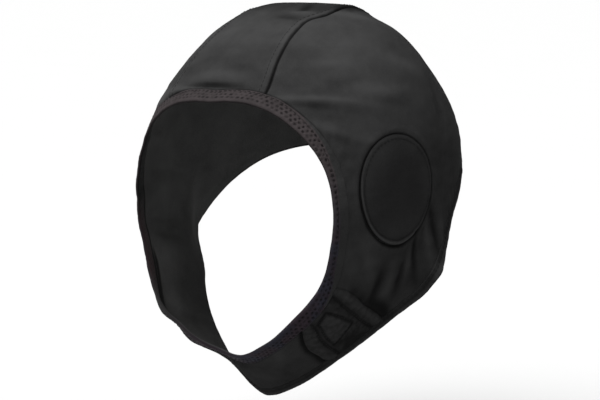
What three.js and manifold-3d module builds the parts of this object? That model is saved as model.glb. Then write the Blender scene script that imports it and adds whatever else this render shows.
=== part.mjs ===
// A wrestler's hair cover: a close cap of black stretch cloth with oval ear patches and a
// chin strap that is fastened under a tab on the wearer's left.
// Millimetres, +Z up. The wearer faces -Y and the wearer's left is +X.
// The origin is the underside of the crown, where the cap rests on the head.
import * as THREE from "three";
import Module from "manifold-3d";

const wasm = await Module();
wasm.setup();

const SEAT = 110; // from the middle of the form up to the underside of the crown
const HALF_BREADTH = 92;
const WALL = 1.4;
const GAP = 0.3; // between neighbouring pieces
const BINDING_WIDTH = 9;
const HEM_WIDTH = 7;

// The form in side view. Angle runs from the back over the crown to the face and the chin,
// reach is the distance from the middle, square says how boxy the cross-section is.
const FORM = [
  { angle: -70, reach: 225, square: 1.9 },
  { angle: -35, reach: 150, square: 2.1 },
  { angle: 0, reach: 101, square: 2.2 },
  { angle: 30, reach: 104.8, square: 2.2 },
  { angle: 60, reach: 106, square: 2.2 },
  { angle: 90, reach: 111.4, square: 2.5 },
  { angle: 120, reach: 110, square: 2.25 },
  { angle: 146, reach: 114.5, square: 2.1 },
  { angle: 165, reach: 126, square: 2 },
  { angle: 182, reach: 136, square: 2 },
  { angle: 205, reach: 132, square: 2 },
  { angle: 222, reach: 131, square: 2 },
  { angle: 234, reach: 129.5, square: 1.85 },
  { angle: 251, reach: 141, square: 1.6 },
  { angle: 270, reach: 177, square: 1.6 },
];

// Lines on the cloth are drawn on a map centred on the ear: degrees toward the back and
// degrees up. Ninety degrees from the ear is the midline. The cap is worn a little turned, so
// a row can say where its spot lies on the right.
const FACE_EDGE = [
  { back: -79.5, up: 42.2, mark: "brow" },
  { back: -72, up: 39.8, onRight: { back: -70, up: 38.8 } },
  { back: -65, up: 36, mark: "seam", onRight: { back: -61, up: 32 } },
  { back: -56, up: 26, onRight: { back: -54.5, up: 23.5 } },
  { back: -50, up: 14 },
  { back: -47.2, up: -2, mark: "corner" },
  { back: -47.2, up: -14 },
  { back: -48, up: -27, mark: "jaw" },
  { back: -52.8, up: -41.5, mark: "tab" },
  { back: -55.5, up: -54 },
  { back: -58.6, up: -68.3, mark: "chin" },
];
const HEM_EDGE = [
  { back: 89.5, up: 9, mark: "brow" },
  { back: 74, up: 9.5, mark: "seam", onRight: { back: 67, up: 9.2 } },
  { back: 55, up: 8, onRight: { back: 53, up: 7.2 } },
  { back: 38, up: 4.5, onRight: { back: 38.5, up: 2.5 } },
  { back: 20.5, up: -5.5, onRight: { back: 23, up: -6.5 } },
  { back: 5.5, up: -26, mark: "corner", onRight: { back: 5, up: -23 } },
  { back: -3, up: -37.5, onRight: { back: -3.5, up: -38.5 } },
  { back: -10.5, up: -48, mark: "jaw", onRight: { back: -14, up: -49 } },
  { back: -19, up: -57.7, onRight: { back: -20, up: -59 } },
  { back: -24.5, up: -65, mark: "tab", onRight: { back: -23.5, up: -66.5 } },
  { back: -28.5, up: -74.5 },
  { back: -30.5, up: -84.7, mark: "chin" },
];
const MARKS = ["brow", "seam", "corner", "jaw", "tab", "chin"];
const STEPS_BETWEEN_MARKS = [3, 11, 6, 6, 6];
const STATION = Object.fromEntries(
  MARKS.map((mark, k) => [mark, STEPS_BETWEEN_MARKS.slice(0, k).reduce((sum, steps) => sum + steps, 0)]),
);

// The crown seam between the face edge and the hem.
const SEAM = [
  { back: -48.5, up: 58.2, onRight: { back: -43, up: 51.5 } },
  { back: -34, up: 69.4, onRight: { back: -33, up: 60 } },
  { back: -26, up: 72.6, onRight: { back: -26, up: 64.5 } },
  { back: -18.5, up: 72, onRight: { back: -18, up: 67.5 } },
  { back: -3, up: 74, onRight: { back: -3, up: 70 } },
  { back: 25, up: 70.5, onRight: { back: 23, up: 65 } },
  { back: 58, up: 47.5, onRight: { back: 52, up: 44 } },
];
// The jaw seam, where the tab on the left and the strap on the right meet the side panel.
const JAW_SEAM = [
  { back: -38, up: -30.5 },
  { back: -26.5, up: -39 },
];
// The free end of the tab.
const TAB_END = [
  { back: -44, up: -50.5 },
  { back: -38, up: -57 },
  { back: -31.5, up: -62 },
];

const EAR = { back: -20, up: 3, halfWidth: 18.3, halfHeight: 19.8 };

// Folds and creases of the cloth: side is 1 for left, -1 for right, 0 for both. Heading is the
// way the fold runs on the map, length and width are degrees, height is millimetres.
const FOLDS = [
  { side: 0, back: -30, up: 37, heading: -8, length: 26, width: 5, height: 1.2 },
  { side: 0, back: -40, up: 28, heading: -20, length: 14, width: 4, height: -1 },
  { side: 0, back: -3, up: -18, heading: -98, length: 12, width: 3.5, height: -2.2 },
  { side: 0, back: 3, up: -12, heading: -98, length: 12, width: 4, height: 1.2 },
  { side: 1, back: -12, up: -27, heading: -75, length: 13, width: 3.5, height: -2 },
  { side: 1, back: -21, up: -34, heading: -110, length: 9, width: 3.5, height: -1.6 },
  { side: -1, back: -26, up: 8, heading: -5, length: 22, width: 5, height: 1.4 },
  { side: -1, back: -30, up: -5, heading: 5, length: 16, width: 4, height: -1.4 },
  { side: -1, back: -30, up: -17, heading: -8, length: 18, width: 5, height: 1.4 },
  { side: -1, back: -34, up: -33, heading: 12, length: 14, width: 5, height: -1.6 },
  { side: 0, back: -70, up: 50, heading: -30, length: 14, width: 3.5, height: -0.8 },
  { side: 0, back: 8, up: 76, heading: 0, length: 24, width: 5, height: 1.3 },
  { side: 0, back: 20, up: 65, heading: -22, length: 16, width: 6, height: -1.8 },
  { side: -1, back: 7, up: -26, heading: 0, length: 18, width: 16, height: 9 },
  { side: 1, back: 4, up: -34, heading: 0, length: 16, width: 12, height: 7 },
  { side: -1, back: -44, up: -52, heading: -70, length: 22, width: 8, height: 5 },
  { side: -1, back: -27, up: -76, heading: -70, length: 12, width: 14, height: -5 },
];
const LEFT_HANGS_LOWER = 5; // how much lower the left jaw hangs than the middle
const HANG_STARTS = 100; // below the crown
const HANG_ENDS = 200;

// How far the tab and the strap under it ride above the cloth: along is 0 at the jaw seam and
// 1 at the tab's free end.
const TAB_LIFT = [
  { along: 0, lift: 0 },
  { along: 0.2, lift: 0.8 },
  { along: 0.4, lift: 1.7 },
  { along: 0.84, lift: 1.7 },
  { along: 1, lift: 1.1 },
];
const TAB_WALL = 1.4;
const STRAP_UNDER_TAB = -0.9;
const STRAP_LIFT = -0.1;
const STRAP_WALL = 1.3;
const STRAP_END = 0.42; // where the strap ends under the tab, in the same measure as along
const HOOK_PATCH = { from: 0.46, to: 0.8, faceSide: 0.22, hemSide: 0.76, lift: 0, wall: 0.6 };

// Cross-sections of the two turned bands: across is 0 at the free edge and 1 at the cloth.
const BAND_SECTION = [
  { across: 0, lift: -0.7 },
  { across: 0.1, lift: 0.25 },
  { across: 0.5, lift: 0.5 },
  { across: 0.92, lift: 0.35 },
  { across: 1, lift: -0.1 },
  { across: 1, lift: -1.3 },
  { across: 0.92, lift: -1.75 },
  { across: 0.5, lift: -1.9 },
  { across: 0.1, lift: -1.65 },
];

const radians = THREE.MathUtils.degToRad;
const degrees = THREE.MathUtils.radToDeg;
const clamp = THREE.MathUtils.clamp;

function hermite(from, fromSlope, to, toSlope, t) {
  const t2 = t * t;
  const t3 = t2 * t;
  const start = (2 * t3 - 3 * t2 + 1) * from + (t3 - 2 * t2 + t) * fromSlope;
  return start + (3 * t2 - 2 * t3) * to + (t3 - t2) * toSlope;
}

// The slope at the middle one of three values, given the steps before and after it.
function slopeAt(previous, here, next, before, after) {
  const into = (here - previous) / before;
  const out = (next - here) / after;
  return (into * after + out * before) / (before + after);
}

// A smooth value from the form's table at an angle.
function formValue(angle, column) {
  const count = FORM.length;
  const row = (k) => FORM[((k % count) + count) % count];
  const at = (k) => row(k).angle + 360 * Math.floor(k / count);
  const turned = angle < at(0) ? angle + 360 : angle;
  let k = 0;
  while (turned >= at(k + 1)) k += 1;
  const slope = (j) =>
    slopeAt(row(j - 1)[column], row(j)[column], row(j + 1)[column], at(j) - at(j - 1), at(j + 1) - at(j));
  const step = at(k + 1) - at(k);
  const t = (turned - at(k)) / step;
  return hermite(row(k)[column], step * slope(k), row(k + 1)[column], step * slope(k + 1), t);
}

// A value from a table of rows that are joined by straight steps.
function tableValue(rows, key, column, x) {
  let k = 1;
  while (k < rows.length - 1 && x > rows[k][key]) k += 1;
  const t = clamp((x - rows[k - 1][key]) / (rows[k][key] - rows[k - 1][key]), 0, 1);
  return THREE.MathUtils.lerp(rows[k - 1][column], rows[k][column], t);
}

// The direction from the middle of the form of a spot on the map.
function direction(spot, side) {
  const fromEar = radians(Math.hypot(spot.back, spot.up));
  const round = Math.atan2(spot.up, spot.back);
  const off = Math.sin(fromEar);
  return new THREE.Vector3(side * Math.cos(fromEar), off * Math.cos(round), off * Math.sin(round));
}

function spotOf(way, side) {
  const unit = way.clone().normalize();
  const fromEar = degrees(Math.acos(clamp(side * unit.x, -1, 1)));
  const round = Math.atan2(unit.z, unit.y);
  return { back: fromEar * Math.cos(round), up: fromEar * Math.sin(round) };
}

const folds = FOLDS.flatMap((fold) => {
  const sides = fold.side === 0 ? [1, -1] : [fold.side];
  return sides.map((side) => {
    const middle = direction(fold, side);
    const ahead = {
      back: fold.back + Math.cos(radians(fold.heading)),
      up: fold.up + Math.sin(radians(fold.heading)),
    };
    const along = direction(ahead, side).sub(middle).normalize();
    const across = new THREE.Vector3().crossVectors(middle, along);
    return { ...fold, middle, along, across };
  });
});

// How far the folds raise the cloth in a direction.
function relief(way) {
  let height = 0;
  for (const fold of folds) {
    if (way.dot(fold.middle) <= 0) continue;
    const along = degrees(Math.asin(clamp(way.dot(fold.along), -1, 1))) / fold.length;
    const across = degrees(Math.asin(clamp(way.dot(fold.across), -1, 1))) / fold.width;
    height += fold.height * Math.exp(-along * along - across * across);
  }
  return height;
}

function hang(point) {
  const t = clamp((-point.z - HANG_STARTS) / (HANG_ENDS - HANG_STARTS), 0, 1);
  return ((LEFT_HANGS_LOWER * point.x) / HALF_BREADTH) * t * t * (3 - 2 * t);
}

// The outer face of the cloth in a direction.
function clothPoint(way) {
  const upright = Math.hypot(way.y, way.z);
  const angle = degrees(Math.atan2(way.z, way.y));
  const square = formValue(angle, "square");
  const lengthwise = (upright / formValue(angle, "reach")) ** square;
  const sideways = (Math.abs(way.x) / HALF_BREADTH) ** square;
  const reach = (lengthwise + sideways) ** (-1 / square) + relief(way);
  const point = way.clone().multiplyScalar(reach);
  point.z -= SEAT;
  point.z -= hang(point);
  return point;
}

const PROBE = 0.004; // the step between directions when a normal is measured

function clothNormal(way) {
  const pole = Math.abs(way.x) < 0.8 ? new THREE.Vector3(1, 0, 0) : new THREE.Vector3(0, 0, 1);
  const first = new THREE.Vector3().crossVectors(way, pole).normalize();
  const second = new THREE.Vector3().crossVectors(way, first);
  const slope = (step) => {
    const ahead = way.clone().addScaledVector(step, PROBE).normalize();
    const behind = way.clone().addScaledVector(step, -PROBE).normalize();
    return clothPoint(ahead).sub(clothPoint(behind));
  };
  const normal = slope(first).cross(slope(second)).normalize();
  return normal.dot(way) < 0 ? normal.negate() : normal;
}

// A point at a height above the outer face of the cloth.
function lifted(way, height) {
  return clothPoint(way).addScaledVector(clothNormal(way), height);
}

// The spot that a point of the cloth has on the map.
function spotUnder(point, side) {
  const level = point.clone();
  level.z += SEAT + hang(point);
  return spotOf(level, side);
}

// Even steps along a smooth line through spots of the map. The line is broken at a corner, and
// where it crosses the midline it goes over without a kink.
const SAMPLES = 16;

function smoothSpan(spots, from, to, steps, breaks) {
  const mirrored = (k) => {
    const fromEar = Math.hypot(spots[k].back, spots[k].up);
    const scale = (180 - fromEar) / fromEar;
    return { back: spots[k].back * scale, up: spots[k].up * scale };
  };
  const distance = (a, b) => Math.hypot(b.back - a.back, b.up - a.up);
  const last = spots.length - 1;
  const neighbour = (k, way) => {
    const j = k + way;
    if (j >= 0 && j <= last) return spots[j];
    return breaks.midline ? mirrored(k - way) : null;
  };
  const slope = (k, toward, column) => {
    const here = spots[k];
    const before = neighbour(k, -1);
    const after = neighbour(k, 1);
    if (k === breaks.corner || !before || !after) {
      const other = spots[k + toward];
      return (toward * (other[column] - here[column])) / distance(here, other);
    }
    return slopeAt(before[column], here[column], after[column], distance(before, here), distance(here, after));
  };
  const fine = [];
  for (let k = from; k < to; k += 1) {
    const step = distance(spots[k], spots[k + 1]);
    const value = (column, t) =>
      hermite(spots[k][column], step * slope(k, 1, column), spots[k + 1][column], step * slope(k + 1, -1, column), t);
    for (let s = 0; s < SAMPLES; s += 1) {
      fine.push({ back: value("back", s / SAMPLES), up: value("up", s / SAMPLES) });
    }
  }
  fine.push(spots[to]);
  return evenly(fine, steps);
}

function evenly(line, steps) {
  const run = [0];
  for (let k = 1; k < line.length; k += 1) {
    run.push(run[k - 1] + Math.hypot(line[k].back - line[k - 1].back, line[k].up - line[k - 1].up));
  }
  const rows = line.map((spot, k) => ({ ...spot, run: run[k] }));
  return Array.from({ length: steps + 1 }, (_, k) => {
    const x = (run[run.length - 1] * k) / steps;
    return { back: tableValue(rows, "run", "back", x), up: tableValue(rows, "run", "up", x) };
  });
}

function spotsOf(rows, side) {
  return rows.map((row) => (side < 0 && row.onRight ? row.onRight : row));
}

// One edge of the cap on one side, from the brow or the back to the chin, in fixed steps.
function edgeLine(rows, side, sharpCorner) {
  const spots = spotsOf(rows, side);
  const marked = MARKS.map((mark) => rows.findIndex((row) => row.mark === mark));
  const breaks = { midline: true, corner: sharpCorner ? marked[MARKS.indexOf("corner")] : -1 };
  const line = [spots[0]];
  STEPS_BETWEEN_MARKS.forEach((steps, k) => {
    line.push(...smoothSpan(spots, marked[k], marked[k + 1], steps, breaks).slice(1));
  });
  return line;
}

// A line moved over the cloth by a distance, on the map to the left of its course. At a sharp
// turn it moves no further than this least mitre lets it.
const LEAST_MITRE = 0.5;
function moved(line, side, distance, endsOnMidline) {
  const last = line.length - 1;
  const points = line.map((spot) => clothPoint(direction(spot, side)));
  return line.map((spot, k) => {
    const normal = clothNormal(direction(spot, side));
    const sideways = [];
    for (const start of [k - 1, k]) {
      if (start < 0 || start === last) continue;
      const course = points[start + 1].clone().sub(points[start]);
      sideways.push(new THREE.Vector3().crossVectors(normal, course).normalize());
    }
    const across = new THREE.Vector3();
    sideways.forEach((way) => across.add(way));
    if (endsOnMidline && sideways.length === 1) across.setX(0);
    across.normalize();
    const mitre = Math.max(across.dot(sideways[0]), LEAST_MITRE);
    return spotUnder(points[k].clone().addScaledVector(across, (side * distance) / mitre), side);
  });
}

// The spot at a share of the way along a line.
function spotAlong(line, share) {
  const x = clamp(share, 0, 1) * (line.length - 1);
  const k = Math.min(Math.floor(x), line.length - 2);
  return {
    back: THREE.MathUtils.lerp(line[k].back, line[k + 1].back, x - k),
    up: THREE.MathUtils.lerp(line[k].up, line[k + 1].up, x - k),
  };
}

// A patch of cloth between four lines, as a function of two shares. The first share runs from
// the line start to the line finish, the second from the face to the hem.
function patch(faceLine, hemLine, start, finish) {
  const face = [start[0], ...faceLine.slice(1, -1), finish[0]];
  const hem = [start[start.length - 1], ...hemLine.slice(1, -1), finish[finish.length - 1]];
  return (u, v) => {
    const spot = {};
    for (const axis of ["back", "up"]) {
      const between = (1 - v) * spotAlong(face, u)[axis] + v * spotAlong(hem, u)[axis];
      const across = (1 - u) * spotAlong(start, v)[axis] + u * spotAlong(finish, v)[axis];
      const faceCorners = (1 - u) * face[0][axis] + u * face[face.length - 1][axis];
      const hemCorners = (1 - u) * hem[0][axis] + u * hem[hem.length - 1][axis];
      spot[axis] = between + across - (1 - v) * faceCorners - v * hemCorners;
    }
    return spot;
  };
}

// The midline of the cap between two spots on it.
function midline(from, to, steps) {
  const start = Math.atan2(from.up, from.back);
  const turn = Math.atan2(to.up, to.back) - start;
  return Array.from({ length: steps + 1 }, (_, k) => {
    const angle = start + (turn * k) / steps;
    return { back: 90 * Math.cos(angle), up: 90 * Math.sin(angle) };
  });
}

const SEAM_STEPS = 26;
const STRAP_STEPS = 8;
const HIDDEN_STEPS = 4; // along the strap end and the hook patch under the tab

// All lines of one side of the cap.
function linesOf(side) {
  const faceRim = edgeLine(FACE_EDGE, side, false);
  const hemRim = edgeLine(HEM_EDGE, side, true);
  const faceCloth = moved(faceRim, side, BINDING_WIDTH, true);
  const hemCloth = moved(hemRim, side, -HEM_WIDTH, true);
  const acrossCloth = (mark, rows, steps) => {
    const station = STATION[mark];
    const spots = [faceCloth[station], ...spotsOf(rows, side), hemCloth[station]];
    return smoothSpan(spots, 0, spots.length - 1, steps, { midline: false, corner: -1 });
  };
  const seam = acrossCloth("seam", SEAM, SEAM_STEPS);
  const jawSeam = acrossCloth("jaw", JAW_SEAM, STRAP_STEPS);
  return {
    side,
    faceRim,
    hemRim,
    faceCloth,
    hemCloth,
    faceBand: moved(faceRim, side, BINDING_WIDTH - GAP, true),
    hemBand: moved(hemRim, side, GAP - HEM_WIDTH, true),
    seamOfCrown: moved(seam, side, GAP / 2, false),
    seamOfPanel: moved(seam, side, -GAP / 2, false),
    jawOfPanel: moved(jawSeam, side, GAP / 2, false),
    jawOfStrap: moved(jawSeam, side, -GAP / 2, false),
    tabEnd: acrossCloth("tab", TAB_END, STRAP_STEPS),
    crownMidline: midline(faceCloth[0], hemCloth[0], SEAM_STEPS),
    chinMidline: midline(faceCloth[STATION.chin], hemCloth[STATION.chin], STRAP_STEPS),
  };
}

const left = linesOf(1);
const right = linesOf(-1);

// The patch of a side between two marks and two lines.
function zone(lines, from, to, start, finish) {
  const stations = [STATION[from], STATION[to] + 1];
  return patch(lines.faceCloth.slice(...stations), lines.hemCloth.slice(...stations), start, finish);
}

// Rows of directions over a patch, a row for each share in us.
function rowsOf(area, side, us, acrossSteps) {
  return us.map((u) =>
    Array.from({ length: acrossSteps + 1 }, (_, j) => direction(area(u, j / acrossSteps), side)),
  );
}

function shares(from, to, steps) {
  return Array.from({ length: steps + 1 }, (_, k) => from + ((to - from) * k) / steps);
}

// A closed mesh from points and triangles, with its faces turned outward.
function closedGeometry(points, triangles) {
  let volume = 0;
  for (const [a, b, c] of triangles) {
    volume += points[a].dot(new THREE.Vector3().crossVectors(points[b], points[c]));
  }
  const faces = volume < 0 ? triangles.map(([a, b, c]) => [a, c, b]) : triangles;
  const geometry = new THREE.BufferGeometry().setFromPoints(points);
  return geometry.setIndex(faces.flat());
}

function facetPair(triangles, a, b, c, d) {
  triangles.push([a, b, c], [a, c, d]);
}

// A wall of cloth over rows of directions. Lift gives the height of its outer face.
function clothWall(rows, wall, lift = () => 0) {
  const points = [];
  const across = rows[0].length;
  for (const depth of [0, wall]) {
    rows.forEach((row, i) => row.forEach((way) => points.push(lifted(way, lift(i) - depth))));
  }
  const inner = rows.length * across;
  const at = (i, j) => i * across + j;
  const triangles = [];
  for (let i = 0; i + 1 < rows.length; i += 1) {
    for (let j = 0; j + 1 < across; j += 1) {
      facetPair(triangles, at(i, j), at(i + 1, j), at(i + 1, j + 1), at(i, j + 1));
      facetPair(
        triangles,
        inner + at(i, j),
        inner + at(i, j + 1),
        inner + at(i + 1, j + 1),
        inner + at(i + 1, j),
      );
    }
  }
  const rim = [];
  for (let j = 0; j + 1 < across; j += 1) rim.push(at(0, j));
  for (let i = 0; i + 1 < rows.length; i += 1) rim.push(at(i, across - 1));
  for (let j = across - 1; j > 0; j -= 1) rim.push(at(rows.length - 1, j));
  for (let i = rows.length - 1; i > 0; i -= 1) rim.push(at(i, 0));
  rim.forEach((a, k) => {
    const b = rim[(k + 1) % rim.length];
    facetPair(triangles, a, b, inner + b, inner + a);
  });
  return closedGeometry(points, triangles);
}

// A band of a constant section along stations, each with a direction at the free edge, a
// direction at the cloth and a lift.
function band(stations) {
  const points = [];
  const count = BAND_SECTION.length;
  for (const station of stations) {
    for (const corner of BAND_SECTION) {
      const way = station.rim.clone().lerp(station.cloth, corner.across).normalize();
      points.push(lifted(way, corner.lift + station.lift));
    }
  }
  const triangles = [];
  for (let i = 0; i + 1 < stations.length; i += 1) {
    for (let j = 0; j < count; j += 1) {
      const next = (j + 1) % count;
      const here = i * count;
      facetPair(triangles, here + j, here + count + j, here + count + next, here + next);
    }
  }
  const end = (stations.length - 1) * count;
  for (let j = 1; j + 1 < count; j += 1) {
    triangles.push([0, j, j + 1], [end, end + j + 1, end + j]);
  }
  return closedGeometry(points, triangles);
}

const SPOKES = 32;

// A round solid on the cloth over the ear, from a section of shares of the oval and lifts.
function earSolid(side, section) {
  const rings = section.slice(1, -1);
  const pole = (row) => lifted(direction(EAR, side), row.lift);
  const points = [pole(section[0]), pole(section[section.length - 1])];
  for (const row of rings) {
    for (let k = 0; k < SPOKES; k += 1) {
      const angle = (2 * Math.PI * k) / SPOKES;
      const spot = {
        back: EAR.back + row.out * EAR.halfWidth * Math.cos(angle),
        up: EAR.up + row.out * EAR.halfHeight * Math.sin(angle),
      };
      points.push(lifted(direction(spot, side), row.lift));
    }
  }
  const at = (ring, k) => 2 + ring * SPOKES + (k % SPOKES);
  const triangles = [];
  for (let k = 0; k < SPOKES; k += 1) {
    triangles.push([0, at(0, k), at(0, k + 1)]);
    for (let ring = 0; ring + 1 < rings.length; ring += 1) {
      facetPair(triangles, at(ring, k), at(ring + 1, k), at(ring + 1, k + 1), at(ring, k + 1));
    }
    triangles.push([1, at(rings.length - 1, k + 1), at(rings.length - 1, k)]);
  }
  return closedGeometry(points, triangles);
}

function manifoldOf(geometry) {
  return new wasm.Manifold(
    new wasm.Mesh({
      numProp: 3,
      vertProperties: geometry.getAttribute("position").array,
      triVerts: new Uint32Array(geometry.index.array),
    }),
  );
}

function geometryOf(manifold) {
  const mesh = manifold.getMesh();
  const geometry = new THREE.BufferGeometry();
  geometry.setAttribute("position", new THREE.BufferAttribute(mesh.vertProperties, mesh.numProp));
  return geometry.setIndex(new THREE.BufferAttribute(mesh.triVerts, 1));
}

const group = new THREE.Group();
const cloth = new THREE.MeshStandardMaterial({ color: 0x202020 });

function add(name, geometry) {
  const mesh = new THREE.Mesh(geometry, cloth);
  mesh.name = name;
  group.add(mesh);
}

// Crown panel: the left half from seam to midline, then the right half back to its seam.
const crownRows = [left, right].map((lines) => {
  const area = zone(lines, "brow", "seam", lines.crownMidline, lines.seamOfCrown);
  return rowsOf(area, lines.side, shares(0, 1, STATION.seam), SEAM_STEPS);
});
add("crown_panel", clothWall([...crownRows[0].slice(1).reverse(), ...crownRows[1]], WALL));

// Side panels, each with a hole that its ear patch fills.
const EAR_HOLE = [
  { out: 0, lift: 4 },
  { out: 1.013, lift: 4 },
  { out: 1.013, lift: -6 },
  { out: 0, lift: -6 },
];
const EAR_PATCH = [
  { out: 0, lift: -0.1 },
  { out: 0.4, lift: -0.1 },
  { out: 0.75, lift: -0.2 },
  { out: 0.88, lift: -0.2 },
  { out: 0.93, lift: 0.7 },
  { out: 0.98, lift: 0.5 },
  { out: 1, lift: -0.3 },
  { out: 1, lift: -1.4 },
  { out: 0.8, lift: -1.6 },
  { out: 0.4, lift: -1.6 },
  { out: 0, lift: -1.6 },
];
for (const lines of [left, right]) {
  const word = lines.side > 0 ? "left" : "right";
  const area = zone(lines, "seam", "jaw", lines.seamOfPanel, lines.jawOfPanel);
  const steps = STATION.jaw - STATION.seam;
  const whole = clothWall(rowsOf(area, lines.side, shares(0, 1, steps), SEAM_STEPS), WALL);
  const hole = manifoldOf(earSolid(lines.side, EAR_HOLE));
  add(`side_panel_${word}`, geometryOf(manifoldOf(whole).subtract(hole)));
  add(`ear_patch_${word}`, earSolid(lines.side, EAR_PATCH));
}

// Chin strap: from the right jaw seam under the chin to its end beneath the tab.
const strapZones = [left, right].map((lines) => ({
  side: lines.side,
  closure: zone(lines, "jaw", "tab", lines.jawOfStrap, lines.tabEnd),
  chin: zone(lines, "tab", "chin", lines.tabEnd, lines.chinMidline),
}));
const [leftZones, rightZones] = strapZones;
const chinSteps = STATION.chin - STATION.tab;
const tabSteps = STATION.tab - STATION.jaw;
const strapInView = [
  ...rowsOf(rightZones.closure, -1, shares(0, 1, tabSteps), STRAP_STEPS).slice(0, -1),
  ...rowsOf(rightZones.chin, -1, shares(0, 1, chinSteps), STRAP_STEPS),
  ...rowsOf(leftZones.chin, 1, shares(1, 0, chinSteps), STRAP_STEPS).slice(1, -1),
];
const strapUnderTab = rowsOf(leftZones.closure, 1, shares(1, STRAP_END, HIDDEN_STEPS), STRAP_STEPS);
add(
  "chin_strap",
  clothWall([...strapInView, ...strapUnderTab], STRAP_WALL, (i) =>
    i < strapInView.length ? STRAP_LIFT : STRAP_UNDER_TAB,
  ),
);

// Closure tab: the outer layer from the left jaw seam to its free end.
const tabShares = shares(0, 1, 2 * tabSteps);
const tabLift = (along) => tableValue(TAB_LIFT, "along", "lift", along);
add(
  "closure_tab",
  clothWall(rowsOf(leftZones.closure, 1, tabShares, STRAP_STEPS), TAB_WALL, (i) => tabLift(tabShares[i])),
);

// Hook patch: between the tab and the strap.
const hookRows = shares(HOOK_PATCH.from, HOOK_PATCH.to, HIDDEN_STEPS).map((u) =>
  shares(HOOK_PATCH.faceSide, HOOK_PATCH.hemSide, HIDDEN_STEPS).map((v) =>
    direction(leftZones.closure(u, v), 1),
  ),
);
add("hook_patch", clothWall(hookRows, HOOK_PATCH.wall, () => HOOK_PATCH.lift));

// The two turned bands run from the tab's free end up the left side, round the right side and
// along the strap, and stop just short of the tab's free end again.
const BAND_OPENING = 0.12; // in steps between stations
function loopOf(rimName, clothName) {
  const station = (lines, k, lift) => ({
    rim: direction(lines[rimName][k], lines.side),
    cloth: direction(lines[clothName][k], lines.side),
    lift,
  });
  const loop = [];
  for (let k = STATION.tab; k >= 0; k -= 1) {
    loop.push(station(left, k, k > STATION.jaw ? tabLift((k - STATION.jaw) / tabSteps) : 0));
  }
  for (let k = 1; k <= STATION.chin; k += 1) loop.push(station(right, k, 0));
  for (let k = STATION.chin - 1; k > STATION.tab; k -= 1) loop.push(station(left, k, 0));
  const before = loop[loop.length - 1];
  const last = station(left, STATION.tab, 0);
  last.rim.lerp(before.rim, BAND_OPENING).normalize();
  last.cloth.lerp(before.cloth, BAND_OPENING).normalize();
  loop.push(last);
  return loop;
}
add("face_binding", band(loopOf("faceRim", "faceBand")));
add("neck_hem", band(loopOf("hemRim", "hemBand")));

export default group;
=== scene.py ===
"""A wrestler's hair cover: a close cap of black stretch cloth with oval ear patches, a mesh
binding round the face, a turned hem round the neck and a chin strap that a tab closes.

The form and the lines on it are in millimetres and degrees, the finished meshes in metres. The
wearer faces -Y, the wearer's left is +X, and the origin is the underside of the crown."""

import math
from collections import namedtuple

import bpy
import numpy as np
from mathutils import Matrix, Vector, noise


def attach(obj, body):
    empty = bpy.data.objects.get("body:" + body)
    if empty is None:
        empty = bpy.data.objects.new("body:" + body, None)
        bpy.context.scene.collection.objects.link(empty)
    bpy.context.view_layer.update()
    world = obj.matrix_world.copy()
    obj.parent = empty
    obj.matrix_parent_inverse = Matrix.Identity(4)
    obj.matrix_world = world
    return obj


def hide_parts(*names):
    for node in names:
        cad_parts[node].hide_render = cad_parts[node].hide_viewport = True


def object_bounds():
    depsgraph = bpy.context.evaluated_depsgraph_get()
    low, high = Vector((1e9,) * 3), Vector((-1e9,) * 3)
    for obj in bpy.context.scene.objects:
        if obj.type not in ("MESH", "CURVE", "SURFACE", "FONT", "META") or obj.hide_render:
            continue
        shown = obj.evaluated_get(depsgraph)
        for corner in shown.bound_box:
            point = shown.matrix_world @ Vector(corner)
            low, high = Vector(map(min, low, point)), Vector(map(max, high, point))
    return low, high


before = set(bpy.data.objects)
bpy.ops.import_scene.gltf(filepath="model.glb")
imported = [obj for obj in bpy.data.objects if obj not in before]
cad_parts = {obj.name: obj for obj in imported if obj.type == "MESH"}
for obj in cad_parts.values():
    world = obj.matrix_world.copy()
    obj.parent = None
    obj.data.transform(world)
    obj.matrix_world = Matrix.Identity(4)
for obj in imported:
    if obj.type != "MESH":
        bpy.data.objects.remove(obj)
cad_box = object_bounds()

bl_info = {
    "name": "Wrestling hair cover",
    "version": (1, 0, 0),
    "blender": (4, 5, 0),
    "location": "3D View > Sidebar > Hair cover",
    "description": "Sews a wrestler's hair cover from stretch cloth, mesh binding and thread",
    "category": "Object",
}

MM = 1000  # millimetres to a metre
SEAT = 110  # from the middle of the form up to the underside of the crown
HALF_BREADTH = 92
BINDING_WIDTH = 10
HEM_WIDTH = 7
SEAM_OVERLAP = 0.04  # how far two pieces that are sewn together go into each other
INNER_FACE = 3  # added to the shade of the cloth on its inner face
FAR = 100  # far enough from an edge to be free of its shade
FROM_SEAM_TO_STITCHES = 4.6
JAW_TO_STITCHES = 4.3
LEFT_HANGS_LOWER = 5  # how much lower the left jaw hangs than the middle
HANG_STARTS = 100  # below the crown
HANG_ENDS = 200

# The form in side view. Angle runs from the back over the crown to the face and the chin,
# reach is the distance from the middle, square says how boxy the cross-section is.
Section = namedtuple("Section", "angle reach square")
FORM = [
    Section(-70, 225, 1.9),
    Section(-35, 150, 2.1),
    Section(0, 101, 2.2),
    Section(30, 104.8, 2.2),
    Section(60, 106, 2.2),
    Section(90, 111.4, 2.5),
    Section(120, 110, 2.25),
    Section(146, 114.5, 2.1),
    Section(165, 126, 2),
    Section(182, 136, 2),
    Section(205, 132, 2),
    Section(222, 131, 2),
    Section(234, 129.5, 1.85),
    Section(251, 141, 1.6),
    Section(270, 177, 1.6),
]

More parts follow.
